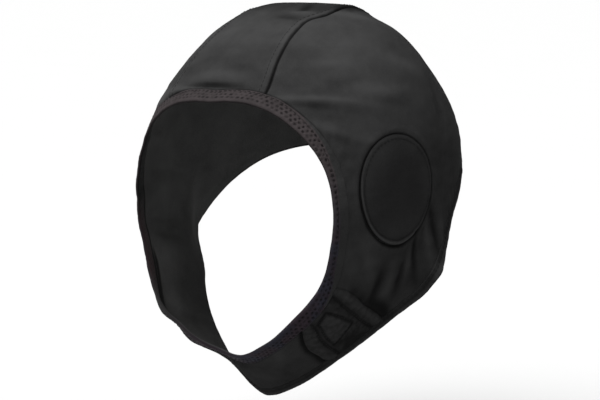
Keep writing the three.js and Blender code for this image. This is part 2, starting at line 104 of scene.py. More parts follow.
# Spots on the cloth are drawn on a map centred on the ear: degrees toward the back and degrees
# up. Ninety degrees from the ear is the midline. A spot can lie elsewhere on the right.
Spot = namedtuple("Spot", "back up mark right", defaults=(None, None))
FACE_EDGE = [
    Spot(-78.9, 43.3, "brow"),
    Spot(-71.6, 40.9, right=(-70, 38.6)),
    Spot(-64.8, 36.6, "seam", right=(-61.4, 31.2)),
    Spot(-56.2, 26, right=(-54.5, 23.5)),
    Spot(-50.5, 14),
    Spot(-47.9, -2, "corner"),
    Spot(-47.6, -14),
    Spot(-48, -27, "jaw"),
    Spot(-52.8, -41.5, "tab"),
    Spot(-55.5, -54),
    Spot(-58.6, -68.3, "chin"),
]
HEM_EDGE = [
    Spot(89.5, 9, "brow"),
    Spot(74, 9.5, "seam", right=(67, 9.2)),
    Spot(55, 8, right=(53, 7.2)),
    Spot(38, 4.5, right=(38.5, 2.5)),
    Spot(20.5, -5.5, right=(23, -6.5)),
    Spot(5.5, -26, "corner", right=(5, -23)),
    Spot(-3, -37.5, right=(-3.5, -38.5)),
    Spot(-10.5, -48, "jaw", right=(-14, -49)),
    Spot(-19, -57.7, right=(-20, -59)),
    Spot(-24.5, -65, "tab", right=(-23.5, -66.5)),
    Spot(-28.5, -74.5),
    Spot(-30.5, -84.7, "chin"),
]
MARKS = ["brow", "seam", "corner", "jaw", "tab", "chin"]
STEPS_BETWEEN_MARKS = [3, 11, 6, 6, 6]
STATION = {mark: sum(STEPS_BETWEEN_MARKS[:k]) for k, mark in enumerate(MARKS)}
FINE = 16  # fine steps in one step between marks

CROWN_SEAM = [
    Spot(-48.5, 58.2, right=(-43, 51.5)),
    Spot(-34, 69.4, right=(-33, 60)),
    Spot(-26, 72.6, right=(-26, 64.5)),
    Spot(-18.5, 72, right=(-18, 67.5)),
    Spot(-3, 74, right=(-3, 70)),
    Spot(25, 70.5, right=(23, 65)),
    Spot(58, 47.5, right=(52, 44)),
]
JAW_SEAM = [Spot(-38, -30.5), Spot(-26.5, -39)]
TAB_END = [Spot(-44, -50.5), Spot(-38, -57), Spot(-31.5, -62)]

Ear = namedtuple("Ear", "back up half_width half_height")
EAR = Ear(-20, 3, 18.3, 19.8)

# Broad folds of the cloth: side is 1 for left, -1 for right, 0 for both. Heading is the way
# the fold runs on the map, length and width are degrees, height is millimetres.
Fold = namedtuple("Fold", "side back up heading length width height")
FOLDS = [
    Fold(0, -30, 37, -8, 26, 5, 1.2),
    Fold(0, -40, 28, -20, 14, 4, -1),
    Fold(0, -3, -18, -98, 12, 3.5, -1),
    Fold(0, 3, -12, -98, 12, 4, 0.8),
    Fold(1, -12, -27, -75, 13, 3.5, -1.2),
    Fold(1, -21, -34, -110, 9, 3.5, -0.8),
    Fold(-1, -26, 8, -5, 22, 5, 1.4),
    Fold(-1, -30, -5, 5, 16, 4, -1.4),
    Fold(-1, -30, -17, -8, 18, 5, 1.4),
    Fold(-1, -34, -33, 12, 14, 5, -1.6),
    Fold(0, -70, 50, -30, 14, 3.5, -0.8),
    Fold(0, 8, 76, 0, 24, 5, 1.3),
    Fold(0, 20, 65, -22, 16, 6, -1.8),
    Fold(-1, 7, -26, 0, 18, 16, 9),
    Fold(1, 4, -34, 0, 16, 12, 7),
    Fold(-1, -44, -52, -70, 22, 8, 5),
    Fold(-1, -27, -76, -70, 12, 14, -5),
]
# Sharp creases that lie on top of the broad folds.
CREASES = [
    Fold(1, -76, 54.5, -34.6, 9, 0.85, -1.4),
    Fold(1, -75, 60.5, -34.6, 12, 2.4, 0.6),
    Fold(-1, -62.4, 39.9, -34, 6, 1, -1.1),
    Fold(-1, -60.5, 42, -34, 7, 1.8, 0.8),
    Fold(1, -45, 36.9, -10, 16, 1.3, 0.8),
    Fold(1, -50, 35.4, -12, 9, 1.1, -0.45),
    Fold(1, -37, 50.4, -12, 8, 2, 0.4),
    Fold(1, -34, 42, 8, 9, 1.8, -0.25),
    Fold(1, -21, 37.5, -8, 14, 2.4, 0.4),
    Fold(1, -14, 33.5, -2, 9, 2, -0.3),
    Fold(1, -46, 26, -24, 8, 1.8, 0.6),
    Fold(1, -43, 22.5, -20, 8, 1.8, -0.5),
    Fold(1, -5, 45, -25, 9, 2.5, 0.5),
    Fold(1, 8, 30, 80, 12, 2.5, -0.25),
    Fold(1, 14, 24, 75, 10, 2.5, 0.25),
    Fold(1, 0.8, -13.5, -71, 8, 1, -1),
    Fold(1, -2.6, -15, -75, 8, 1.3, 0.7),
    Fold(1, 4.6, -14, -75, 7, 1.8, 0.6),
    Fold(1, -8.7, -20.5, -77, 9, 1.3, -1.2),
    Fold(1, -11.2, -26, -85, 6, 1.3, 0.6),
    Fold(1, -13.7, -29, -91, 7, 1.6, -0.8),
    Fold(1, -19.5, -31, -88, 7, 2.2, 0.7),
    Fold(1, -25, -31, -85, 8, 2, -1.2),
    Fold(1, 5.1, -27.5, -60, 3.5, 3, 1.8),
    Fold(1, -18, -40.5, -33, 6, 2.2, -1.2),
    Fold(1, -33, -22, -60, 6, 1.8, 0.5),
    Fold(1, -36, -19, -60, 6, 1.8, -0.4),
    Fold(1, -22, 79.5, -60, 4, 1.6, 0.8),
    Fold(1, -15, 82.5, 20, 6, 1.8, -0.8),
    Fold(1, -28, 80, -70, 5, 1.6, -0.6),
    Fold(1, -8, 68, -30, 8, 2, 0.6),
    Fold(1, -44, -62, -48, 10, 2.2, 0.6),
    Fold(1, -40, -66, -48, 9, 2, -0.6),
    Fold(-1, -22, 2, -12, 14, 2, 0.8),
    Fold(-1, -26, -12, 8, 12, 1.8, -0.8),
    Fold(-1, -24, -24, -20, 12, 2, 0.7),
    Fold(-1, -31, 17, -6, 12, 2, -0.9),
    Fold(-1, -28, 25, 6, 12, 2.4, 0.8),
    Fold(-1, -35, -52, -40, 8, 1.8, -0.8),
    Fold(-1, -48, -57.5, -60, 4, 5, 1.9),
    Fold(-1, -49, -44.5, -60, 3.5, 5, 1.3),
    Fold(-1, -50, -50.8, -60, 2.5, 5, -1.1),
    Fold(-1, -52, -68, -60, 5, 6, -2),
    Fold(-1, -40, -70, -60, 7, 7, -2),
    Fold(-1, -25, -80, -60, 7, 6, 1.2),
    Fold(-1, -50, 33, -60, 5, 4, 1.7),
]

# How far the tab rides above the cloth: along is 0 at the jaw seam and 1 at its free end.
Lift = namedtuple("Lift", "along lift")
TAB_LIFT = [Lift(0, 0), Lift(0.2, 0.7), Lift(0.4, 1.25), Lift(0.84, 1.2), Lift(1, 0.9)]
STRAP_LIFT = -0.1
STRAP_UNDER_TAB = -0.9
STRAP_WALL = 1.3
STRAP_END = 0.42  # where the strap ends under the tab, in the same measure as along

# Cross-sections of the two turned bands: across is 0 at the free edge and 1 at the cloth.
Corner = namedtuple("Corner", "across lift")
BINDING_SECTION = [
    Corner(0, -0.7),
    Corner(0.015, -0.3),
    Corner(0.05, 0.05),
    Corner(0.1, 0.3),
    Corner(0.16, 0.42),
    Corner(0.22, 0.48),
    *(Corner(across, 0.5) for across in (0.28, 0.34, 0.4, 0.46, 0.52, 0.58, 0.64)),
    Corner(0.7, 0.48),
    Corner(0.76, 0.46),
    Corner(0.82, 0.43),
    Corner(0.87, 0.4),
    Corner(0.92, 0.36),
    Corner(0.96, 0.27),
    Corner(0.99, 0.1),
    Corner(1, -0.2),
    Corner(1, -1.3),
    Corner(0.97, -1.7),
    Corner(0.9, -1.85),
    *(Corner(across, -1.9) for across in (0.8, 0.7, 0.6, 0.5, 0.4)),
    Corner(0.3, -1.88),
    Corner(0.2, -1.82),
    Corner(0.12, -1.7),
    Corner(0.05, -1.4),
    Corner(0.015, -1.1),
]
# How much of the binding shows its mesh: it is drawn narrow beside the cheek.
Narrowing = namedtuple("Narrowing", "below_crown width")
BINDING_SHOWN = [
    Narrowing(60, 10),
    Narrowing(72, 8.4),
    Narrowing(88, 5.2),
    Narrowing(110, 3.6),
    Narrowing(130, 4.4),
    Narrowing(150, 5),
    Narrowing(162, 8),
    Narrowing(172, 10),
]
HEM_SECTION = [
    Corner(0, -0.7),
    Corner(0.02, -0.35),
    Corner(0.06, 0),
    Corner(0.14, 0.25),
    Corner(0.25, 0.36),
    Corner(0.38, 0.36),
    Corner(0.5, 0.3),
    Corner(0.6, 0.12),
    Corner(0.65, 0.05),
    Corner(0.72, 0.16),
    Corner(0.83, 0.02),
    Corner(0.92, 0.1),
    Corner(0.98, -0.02),
    Corner(1, -0.25),
    Corner(1, -1.39),
    Corner(0.96, -1.41),
    Corner(0.85, -1.46),
    Corner(0.65, -1.56),
    Corner(0.45, -1.64),
    Corner(0.25, -1.64),
    Corner(0.1, -1.5),
    Corner(0.02, -1.1),
]

# The ear patch from its middle over the rim to its inner face: out is a share of the oval, rim
# is how much a row takes part in the raised rim, shade is darker below 0 and lighter above.
Ring = namedtuple("Ring", "out lift rim shade")
EAR_SECTION = [
    Ring(0.15, -0.1, 0, -0.2),
    Ring(0.3, -0.1, 0, -0.2),
    Ring(0.45, -0.12, 0, -0.17),
    Ring(0.6, -0.15, 0, -0.1),
    Ring(0.72, -0.2, 0, -0.04),
    Ring(0.82, -0.25, 0, 0),
    Ring(0.88, -0.35, 0, -0.04),
    Ring(0.91, -0.45, 0, -0.25),
    Ring(0.93, -0.36, 0.15, -0.1),
    Ring(0.945, -0.18, 0.5, 0.1),
    Ring(0.96, 0.02, 0.85, 0.25),
    Ring(0.972, 0.06, 1, 0.25),
    Ring(0.983, 0, 0.95, 0.1),
    Ring(0.99, -0.3, 0.6, -0.5),
    Ring(0.995, -0.6, 0.3, -0.9),
    Ring(0.995, -1.25, 0, -0.9),
    Ring(1.0, -1.43, 0, 0.9),
    Ring(1.03, -1.43, 0, 0.9),
    Ring(1.07, -1.43, 0, 0.9),
    Ring(1.07, -1.46, 0, 1),
    Ring(1.02, -1.52, 0, 1),
    *(Ring(out, -1.54, 0, 1) for out in (0.9, 0.75, 0.55, 0.35, 0.16)),
]
MAP_SCALE = 1.8  # millimetres of cloth to a degree of the map, near enough for its knit

# Sewn lines on the tab, as shares along it and across it from the face to the hem.
TAB_FOLD_LINE = [
    (0.145, 0.02),
    (0.18, 0.11),
    (0.206, 0.22),
    (0.206, 0.34),
    (0.19, 0.52),
    (0.2, 0.64),
    (0.206, 0.86),
    (0.197, 0.98),
]
TAB_BOX_LINE = [
    (0.43, 0.07),
    (0.38, 0.2),
    (0.33, 0.38),
    (0.28, 0.57),
    (0.48, 0.64),
    (0.68, 0.72),
    (0.69, 0.5),
    (0.68, 0.3),
    (0.67, 0.11),
    (0.43, 0.07),
]
TAB_END_LINE = [(0.765, 0.03), (0.772, 0.32), (0.762, 0.57), (0.755, 0.78), (0.76, 0.97)]
TAB_CUT = 0.07  # how much sooner the tab ends toward the hem, as a share of its length
TAB_LENGTH = 44


def hermite(start, start_slope, finish, finish_slope, t):
    t2, t3 = t * t, t * t * t
    first = (2 * t3 - 3 * t2 + 1) * start + (t3 - 2 * t2 + t) * start_slope
    return first + (3 * t2 - 2 * t3) * finish + (t3 - t2) * finish_slope


def slope_at(previous, here, following, before, after):
    """The slope at the middle one of three values, given the steps before and after it."""
    into, out = (here - previous) / before, (following - here) / after
    return (into * after + out * before) / (before + after)


def smoothstep(x, low, high):
    t = np.clip((x - low) / (high - low), 0, 1)
    return t * t * (3 - 2 * t)


def rise_and_fall(x, low, high, last, gone):
    """0 up to low, 1 from high to last and 0 again from gone on."""
    return smoothstep(x, low, high) * (1 - smoothstep(x, last, gone))


def bell(x, width):
    return np.exp(-((x / width) ** 2))


def even_shares(count):
    return np.linspace(0, 1, count)


def found_at(at, run, line):
    """The points or directions of a line at distances from its start."""
    return np.stack([np.interp(at, run, column) for column in line.T], -1)


def form_value(column, angles):
    """A smooth value from the form's table at angles of the side view."""
    knots = np.array([row.angle for row in FORM], float)
    values = np.array([getattr(row, column) for row in FORM], float)
    knots = np.concatenate([knots[-2:] - 360, knots, knots[:2] + 360])
    values = np.concatenate([values[-2:], values, values[:2]])
    steps = np.diff(knots)
    slopes = slope_at(values[:-2], values[1:-1], values[2:], steps[:-1], steps[1:])
    x = knots[2] + (angles - knots[2]) % 360
    k = np.clip(np.searchsorted(knots, x, side="right") - 1, 1, len(knots) - 3)
    step = steps[k]
    t = (x - knots[k]) / step
    return hermite(values[k], step * slopes[k - 1], values[k + 1], step * slopes[k], t)


def normalised(vectors):
    return vectors / np.linalg.norm(vectors, axis=-1, keepdims=True)


def direction(spots, side):
    """The directions from the middle of the form of spots on the map."""
    spots = np.asarray(spots, float)
    from_ear = np.radians(np.hypot(spots[..., 0], spots[..., 1]))
    round_ear = np.arctan2(spots[..., 1], spots[..., 0])
    off = np.sin(from_ear)
    parts = [side * np.cos(from_ear), off * np.cos(round_ear), off * np.sin(round_ear)]
    return np.stack(parts, -1)


def spots_of(ways, side):
    from_ear = np.degrees(np.arccos(np.clip(side * ways[..., 0], -1, 1)))
    round_ear = np.arctan2(ways[..., 2], ways[..., 1])
    return np.stack([from_ear * np.cos(round_ear), from_ear * np.sin(round_ear)], -1)


def raised(ways, folds):
    """How far the folds of a table raise the cloth in these directions."""
    height = np.zeros(ways.shape[:-1])
    for fold in folds:
        for side in [fold.side] if fold.side else [1, -1]:
            middle = direction((fold.back, fold.up), side)
            heading = math.radians(fold.heading)
            ahead = (fold.back + math.cos(heading), fold.up + math.sin(heading))
            along = normalised(direction(ahead, side) - middle)
            across = np.cross(middle, along)
            run = np.degrees(np.arcsin(np.clip(ways @ along, -1, 1))) / fold.length
            off = np.degrees(np.arcsin(np.clip(ways @ across, -1, 1))) / fold.width
            in_front = ways @ middle > 0
            height += np.where(in_front, fold.height * np.exp(-run * run - off * off), 0)
    return height


def hang(points):
    t = smoothstep(-points[..., 2], HANG_STARTS, HANG_ENDS)
    return LEFT_HANGS_LOWER * points[..., 0] / HALF_BREADTH * t


def cloth_point(ways):
    """The outer face of the cloth in these directions."""
    upright = np.hypot(ways[..., 1], ways[..., 2])
    angle = np.degrees(np.arctan2(ways[..., 2], ways[..., 1]))
    square = form_value("square", angle)
    lengthwise = (upright / form_value("reach", angle)) ** square
    sideways = (np.abs(ways[..., 0]) / HALF_BREADTH) ** square
    reach = (lengthwise + sideways) ** (-1 / square) + raised(ways, FOLDS)
    points = ways * reach[..., None]
    points[..., 2] -= SEAT
    points[..., 2] -= hang(points)
    return points


def cloth_normal(ways):
    probe = 0.004
    x_axis, z_axis = np.array([1.0, 0, 0]), np.array([0, 0, 1.0])
    pole = np.where(np.abs(ways[..., :1]) < 0.8, x_axis, z_axis)
    first = normalised(np.cross(ways, pole))
    second = np.cross(ways, first)
    slopes = []
    for step in (first, second):
        ahead = cloth_point(normalised(ways + probe * step))
        slopes.append(ahead - cloth_point(normalised(ways - probe * step)))
    normal = normalised(np.cross(slopes[0], slopes[1]))
    inward = (normal * ways).sum(-1, keepdims=True) < 0
    return np.where(inward, -normal, normal)


def spot_under(points, side):
    level = points.copy()
    level[..., 2] += SEAT + hang(points)
    return spots_of(normalised(level), side)


def along_line(line, shares):
    """The spots at shares of the way along a line."""
    x = np.clip(shares, 0, 1) * (len(line) - 1)
    k = np.minimum(x.astype(int), len(line) - 2)
    t = (x - k)[:, None]
    return line[k] * (1 - t) + line[k + 1] * t


def evenly(line, steps):
    lengths = np.linalg.norm(np.diff(line, axis=0), axis=1)
    run = np.concatenate([[0], np.cumsum(lengths)])
    return found_at(np.linspace(0, run[-1], steps + 1), run, line)


def smooth_span(spots, first, last, steps, over_midline=False, corner=-1):
    """Even steps along a smooth line through spots, broken at a corner. Over the midline it
    goes on as its mirror image would."""
    samples = 48

    def mirrored(spot):
        from_ear = np.hypot(*spot)
        return spot * (180 - from_ear) / from_ear

    def neighbour(k, way):
        if 0 <= k + way < len(spots):
            return spots[k + way]
        return mirrored(spots[k - way]) if over_midline else None

    def slope(k, toward):
        here, before, after = spots[k], neighbour(k, -1), neighbour(k, 1)
        if k == corner or before is None or after is None:
            step = spots[k + toward] - here
            return toward * step / np.hypot(*step)
        return slope_at(before, here, after, np.hypot(*(here - before)), np.hypot(*(after - here)))

    line = []
    t = (np.arange(samples) / samples)[:, None]
    for k in range(first, last):
        step = np.hypot(*(spots[k + 1] - spots[k]))
        line.append(hermite(spots[k], step * slope(k, 1), spots[k + 1], step * slope(k + 1, -1), t))
    line.append(spots[last][None])
    return evenly(np.concatenate(line), steps)


def table_spots(rows, side):
    return np.array([row.right if side < 0 and row.right else (row.back, row.up) for row in rows])


def edge_line(rows, side, sharp_corner):
    """An edge of the cap on one side, from the midline of the crown to that of the chin."""
    spots = table_spots(rows, side).astype(float)
    marked = [next(k for k, row in enumerate(rows) if row.mark == mark) for mark in MARKS]
    corner = marked[MARKS.index("corner")] if sharp_corner else -1
    line = [spots[:1]]
    for k, steps in enumerate(STEPS_BETWEEN_MARKS):
        ends = marked[k], marked[k + 1]
        line.append(smooth_span(spots, *ends, steps, over_midline=True, corner=corner)[1:])
    return np.concatenate(line)


def finer(line, corner=-1):
    """A line through the same stations with fine steps between them."""
    spans = [line[:1]]
    for k in range(len(line) - 1):
        spans.append(smooth_span(line, k, k + 1, FINE, over_midline=True, corner=corner)[1:])
    return np.concatenate(spans)


def moved(line, side, distance, ends_on_midline=False):
    """A line moved over the cloth by a distance, on the map to the left of its course."""
    least_mitre = 0.5
    ways = direction(line, side)
    points, normals = cloth_point(ways), cloth_normal(ways)
    course = np.diff(points, axis=0)
    into = normalised(np.cross(normals[1:], course))
    out = normalised(np.cross(normals[:-1], course))
    across = np.concatenate([out[:1], into[:-1] + out[1:], into[-1:]])
    if ends_on_midline:
        across[0, 0] = across[-1, 0] = 0
    across = normalised(across)
    first = np.concatenate([out[:1], into])
    mitre = np.maximum((across * first).sum(-1, keepdims=True), least_mitre)
    return spot_under(points + across * side * distance / mitre, side)


def midline(start, finish, steps):
    first = math.atan2(start[1], start[0])
    angle = np.linspace(first, math.atan2(finish[1], finish[0]), steps + 1)
    return 90 * np.stack([np.cos(angle), np.sin(angle)], -1)


class Side:
    """All lines of one side of the cap, on the map."""

    def __init__(self, side):
        self.side = side
        self.word = "left" if side > 0 else "right"
        corner = STATION["corner"]
        steps = 160
        face = edge_line(FACE_EDGE, side, sharp_corner=False)
        hem = edge_line(HEM_EDGE, side, sharp_corner=True)

        def cloth_edge(line, distance, corner=-1):
            return finer(moved(line, side, distance, ends_on_midline=True), corner)

        self.face_rim = finer(face)
        self.hem_rim = finer(hem, corner)
        self.face_cloth = cloth_edge(face, BINDING_WIDTH)
        self.hem_cloth = cloth_edge(hem, -HEM_WIDTH, corner)
        self.face_band = cloth_edge(face, BINDING_WIDTH + SEAM_OVERLAP)
        self.hem_band = cloth_edge(hem, -HEM_WIDTH - SEAM_OVERLAP, corner)
        crown_seam = self.across("seam", CROWN_SEAM, steps)
        jaw_seam = self.across("jaw", JAW_SEAM, steps)
        self.seam_of_crown = moved(crown_seam, side, -SEAM_OVERLAP / 2)
        self.seam_of_panel = moved(crown_seam, side, SEAM_OVERLAP / 2)
        self.jaw_of_panel = moved(jaw_seam, side, -SEAM_OVERLAP / 2)
        self.jaw_of_strap = moved(jaw_seam, side, SEAM_OVERLAP / 2)
        tab_end = self.across("tab", TAB_END, steps)
        chin = STATION["chin"] * FINE
        self.crown_midline = midline(self.face_cloth[0], self.hem_cloth[0], steps)
        chin_midline = midline(self.face_cloth[chin], self.hem_cloth[chin], steps)
        self.closure = self.zone("jaw", "tab", self.jaw_of_strap, tab_end)
        self.chin = self.zone("tab", "chin", tab_end, chin_midline)

    def across(self, mark, rows, steps):
        station = STATION[mark] * FINE
        spots = [self.face_cloth[station], *table_spots(rows, self.side), self.hem_cloth[station]]
        return smooth_span(np.array(spots), 0, len(spots) - 1, steps)

    def zone(self, start_mark, finish_mark, start, finish):
        """A patch of cloth between two marks and two lines, as a function of two shares: the
        first from start to finish, the second from the face to the hem."""
        stations = slice(STATION[start_mark] * FINE, STATION[finish_mark] * FINE + 1)
        face = np.concatenate([start[:1], self.face_cloth[stations][1:-1], finish[:1]])
        hem = np.concatenate([start[-1:], self.hem_cloth[stations][1:-1], finish[-1:]])

        def ways(us, vs):
            u, v = us[:, None, None], vs[None, :, None]
            between = (1 - v) * along_line(face, us)[:, None] + v * along_line(hem, us)[:, None]
            across = (1 - u) * along_line(start, vs)[None] + u * along_line(finish, vs)[None]
            face_corners = (1 - u) * face[0] + u * face[-1]
            hem_corners = (1 - u) * hem[0] + u * hem[-1]
            spots = between + across - (1 - v) * face_corners - v * hem_corners
            return direction(spots, self.side)

        return ways


LEFT, RIGHT = Side(1), Side(-1)


def run_along(points, axis):
    """The distance along the lines of a grid from their start."""
    lengths = np.linalg.norm(np.diff(points, axis=axis), axis=-1)
    run = np.cumsum(lengths, axis=axis)
    first = np.zeros_like(np.take(run, [0], axis=axis))
    return np.concatenate([first, run], axis=axis)


# Where the first points of a row stand, in millimetres from a seam.
NEAR_SEAM = [0, 0.3, 0.6, 0.9, 1.3, 1.8, 2.4, 3.2, 4.2, 5, 5.8, 6.6]


def respaced(ways, count):
    """Rows of directions, set close together near both ends of each row."""
    near = np.array(NEAR_SEAM)
    rows = []
    for way, run in zip(ways, run_along(cloth_point(ways), 1)):
        length = run[-1]
        close = near * min(1, length / 3 / near[-1])
        middle = np.linspace(close[-1], length - close[-1], count)[1:-1]
        at = np.concatenate([close, middle, length - close[::-1]])
        rows.append(found_at(at, run, way))
    return normalised(np.array(rows))


def respaced_grid(rows, row_count, column_count):
    ways = respaced(rows, column_count)
    return respaced(ways.swapaxes(0, 1), row_count).swapaxes(0, 1)


def grid_runs(ways):
    """The distances over the cloth down the columns of a grid, and along its rows."""
    points = cloth_point(ways)
    return run_along(points, 0), run_along(points, 1)


def uneven(ways, scale, seed):
    """Soft unevenness from about -0.7 to 0.7 over the cloth."""
    flat = ways.reshape(-1, 3) * scale + seed
    return np.array([noise.noise(Vector(way)) for way in flat]).reshape(ways.shape[:-1])


def add_mesh(name, points, faces, material, weave=None):
    """A mesh object from points in millimetres. Weave gives each point's place on its cloth."""
    mesh = bpy.data.meshes.new(name)
    mesh.from_pydata((np.asarray(points) / MM).tolist(), [], faces)
    if weave is not None:
        layer = mesh.attributes.new("weave", "FLOAT_VECTOR", "POINT")
        layer.data.foreach_set("vector", np.asarray(weave, np.float32).ravel())
    mesh.materials.append(material)
    mesh.shade_smooth()
    mesh.set_sharp_from_angle(angle=math.radians(60))
    piece = bpy.data.objects.new(name, mesh)
    bpy.context.scene.collection.objects.link(piece)
    return piece


def grid_faces(at):
    """The faces of a grid of point numbers, as a grid."""
    return np.stack([at[:-1, :-1], at[1:, :-1], at[1:, 1:], at[:-1, 1:]], -1)


def loop_faces(loops):
    """The faces between loops of point numbers."""
    beside = np.roll(loops, -1, axis=1)
    return np.stack([loops[:-1], loops[1:], beside[1:], beside[:-1]], -1).reshape(-1, 4)


def grid_rim(at):
    return np.concatenate([at[0, :-1], at[:-1, -1], at[-1, :0:-1], at[:0:-1, 0]])


def numbered(shape):
    return np.arange(math.prod(shape)).reshape(shape)


def outward(points, faces):
    """Faces turned so that a closed mesh has its normals outside."""
    corners = [points[faces[:, k]] for k in range(3)]
    volume = (corners[0] * np.cross(corners[1], corners[2])).sum()
    if faces.shape[1] == 4:
        last = points[faces[:, 3]]
        volume += (corners[0] * np.cross(corners[2], last)).sum()
    return faces[:, ::-1] if volume < 0 else faces


def closed_wall(ways, faces, rims, outer, inner):
    """A closed wall of cloth from directions, the faces between them, the loops at its edges
    and the heights of its two sides."""
    normals, points = cloth_normal(ways), cloth_point(ways)
    count = len(ways)
    both = np.concatenate([points + normals * outer[:, None], points + normals * inner[:, None]])
    quads = [faces, faces[:, ::-1] + count]
    quads += [loop_faces(np.stack([rim, rim + count])) for rim in rims]
    return both, outward(both, np.concatenate(quads))


class Value:
    """A number in a finish that may vary over the surface."""

    def __init__(self, finish, socket):
        self.finish = finish
        self.socket = socket

    def __add__(self, other):
        return self.finish.maths("ADD", self, other)

    def __sub__(self, other):
        return self.finish.maths("SUBTRACT", self, other)

    def __mul__(self, other):
        return self.finish.maths("MULTIPLY", self, other)

    def __truediv__(self, other):
        return self.finish.maths("DIVIDE", self, other)

    def __rsub__(self, other):
        return self.finish.maths("SUBTRACT", other, self)

    __radd__ = __add__
    __rmul__ = __mul__

    def wave(self):
        """A cosine wave from 0 to 1 with one crest for each whole number."""
        return self.finish.maths("COSINE", self * math.tau) * 0.5 + 0.5

    def fraction(self):
        return self.finish.maths("FRACT", self)

    def size(self):
        return self.finish.maths("ABSOLUTE", self)

    def between(self, low, high):
        """0 below low, 1 above high and smooth between them. Low may be the larger one."""
        options = {"interpolation_type": "SMOOTHSTEP", "clamp": True}
        inputs = {"Value": self, "From Min": low, "From Max": high}
        node = self.finish.node("ShaderNodeMapRange", options, inputs)
        return Value(self.finish, node.outputs["Result"])


class Finish:
    """A material that is put together from expressions."""

    def __init__(self, name):
        self.material = bpy.data.materials.new(name)
        self.material.use_nodes = True
        self.tree = self.material.node_tree
        self.tree.nodes.clear()

    def node(self, kind, options, inputs):
        """A node of that type, with its options set first and then its sockets, which are
        named or counted."""
        node = self.tree.nodes.new(kind)
        for name, value in options.items():
            setattr(node, name, value)
        for name, value in inputs.items():
            socket = node.inputs[name]
            if isinstance(value, Value):
                value = value.socket
            if isinstance(value, bpy.types.NodeSocket):
                self.tree.links.new(value, socket)
            else:
                socket.default_value = value
        return node

    def maths(self, operation, *values):
        node = self.node("ShaderNodeMath", {"operation": operation}, dict(enumerate(values)))
        return Value(self, node.outputs[0])

    def place(self):
        """The place on the cloth in millimetres, along and across, and a third number."""
        read = self.node("ShaderNodeAttribute", {"attribute_name": "weave"}, {})
        parts = self.node("ShaderNodeSeparateXYZ", {}, {"Vector": read.outputs["Vector"]})
        return [Value(self, parts.outputs[axis]) for axis in "XYZ"]

    def place_and_face(self):
        """The place, with its third number freed from the mark of the inner face, and a number
        that is 1 on that face."""
        along, across, third = self.place()
        inside = third.between(0.5 * INNER_FACE - 0.1, 0.5 * INNER_FACE + 0.1)
        return along, across, third - inside * INNER_FACE, inside

    def position(self):
        return self.node("ShaderNodeTexCoord", {}, {}).outputs["Object"]

    def axis(self, letter):
        parts = self.node("ShaderNodeSeparateXYZ", {}, {"Vector": self.position()})
        return Value(self, parts.outputs[letter])

    def cloud(self, scale, detail=2, roughness=0.5):
        """Soft noise from 0 to 1 with that many patches to a metre."""
        inputs = {"Vector": self.position(), "Scale": scale}
        inputs |= {"Detail": detail, "Roughness": roughness}
        return Value(self, self.node("ShaderNodeTexNoise", {}, inputs).outputs["Fac"])

    def mix(self, share, first, second):
        """A colour that goes from the first to the second as share goes from 0 to 1."""
        factor, colour_a, colour_b, result = 0, 6, 7, 2  # their places among the node's sockets
        inputs = {factor: share, colour_a: colour_of(first), colour_b: colour_of(second)}
        return self.node("ShaderNodeMix", {"data_type": "RGBA"}, inputs).outputs[result]

    def tones(self, tone, colour, darkest, lightest):
        """A colour between two shares of it, as the tone goes from 0 to 1."""
        return self.mix(tone, shaded(colour, darkest), shaded(colour, lightest))

    def surface(self, base, roughness, gloss, relief=None):
        """The finished material. Relief is in millimetres."""
        inputs = {"Base Color": base, "Roughness": roughness, "Specular IOR Level": gloss}
        if relief is not None:
            bump = self.node("ShaderNodeBump", {}, {"Distance": 1 / MM, "Height": relief})
            inputs["Normal"] = bump.outputs["Normal"]
        shader = self.node("ShaderNodeBsdfPrincipled", {}, inputs)
        self.node("ShaderNodeOutputMaterial", {}, {"Surface": shader.outputs["BSDF"]})
        return self.material


def colour_of(value):
    if isinstance(value, (Value, bpy.types.NodeSocket)):
        return value
    return (*tuple(value)[:3], 1.0)


def shaded(colour, share):
    return tuple(channel * share for channel in tuple(colour)[:3])


def knit(along, across, wale, course):
    """The relief of a fine jersey knit, from 0 in the gaps to 1 on the loops."""
    off = (across / wale).fraction() - 0.5
    leg = off.size() * 2
    loops = (along / course + leg * 0.5).wave()
    return loops * (1 - leg * leg)


def stretch_cloth(name, colour, sizes, colours, darkest=0.25, lightest=1.6):
    """Black jersey: a fine knit, with painted light on the ridges and painted shade in the folds.
    """
    finish = Finish(name)
    along, across, shade, inside = finish.place_and_face()
    loops = knit(along, across, sizes.wale * MM, sizes.course * MM)
    patches = finish.cloud(42, detail=3)
    specks = finish.cloud(1500, roughness=0.6)
    tone = loops * 0.16 + patches * 0.26 + specks * 0.3 + shade * 0.45 + 0.12
    outer = finish.tones(tone.between(0, 1), colour, darkest, lightest)
    # The inner face is lighter: partly the greyer wrong side of the knit, partly painted light for
    # the dim inside.
    inner = finish.tones(tone.between(0, 1), colours.cloth_inside, darkest=0.12, lightest=1.9)
    base = finish.mix(inside, outer, inner)
    relief = loops * 0.07 + specks * 0.06 + patches * 0.3
    roughness = patches * 0.14 + 0.72 - loops * 0.05
    return finish.surface(base, roughness, colours.cloth_gloss, relief)


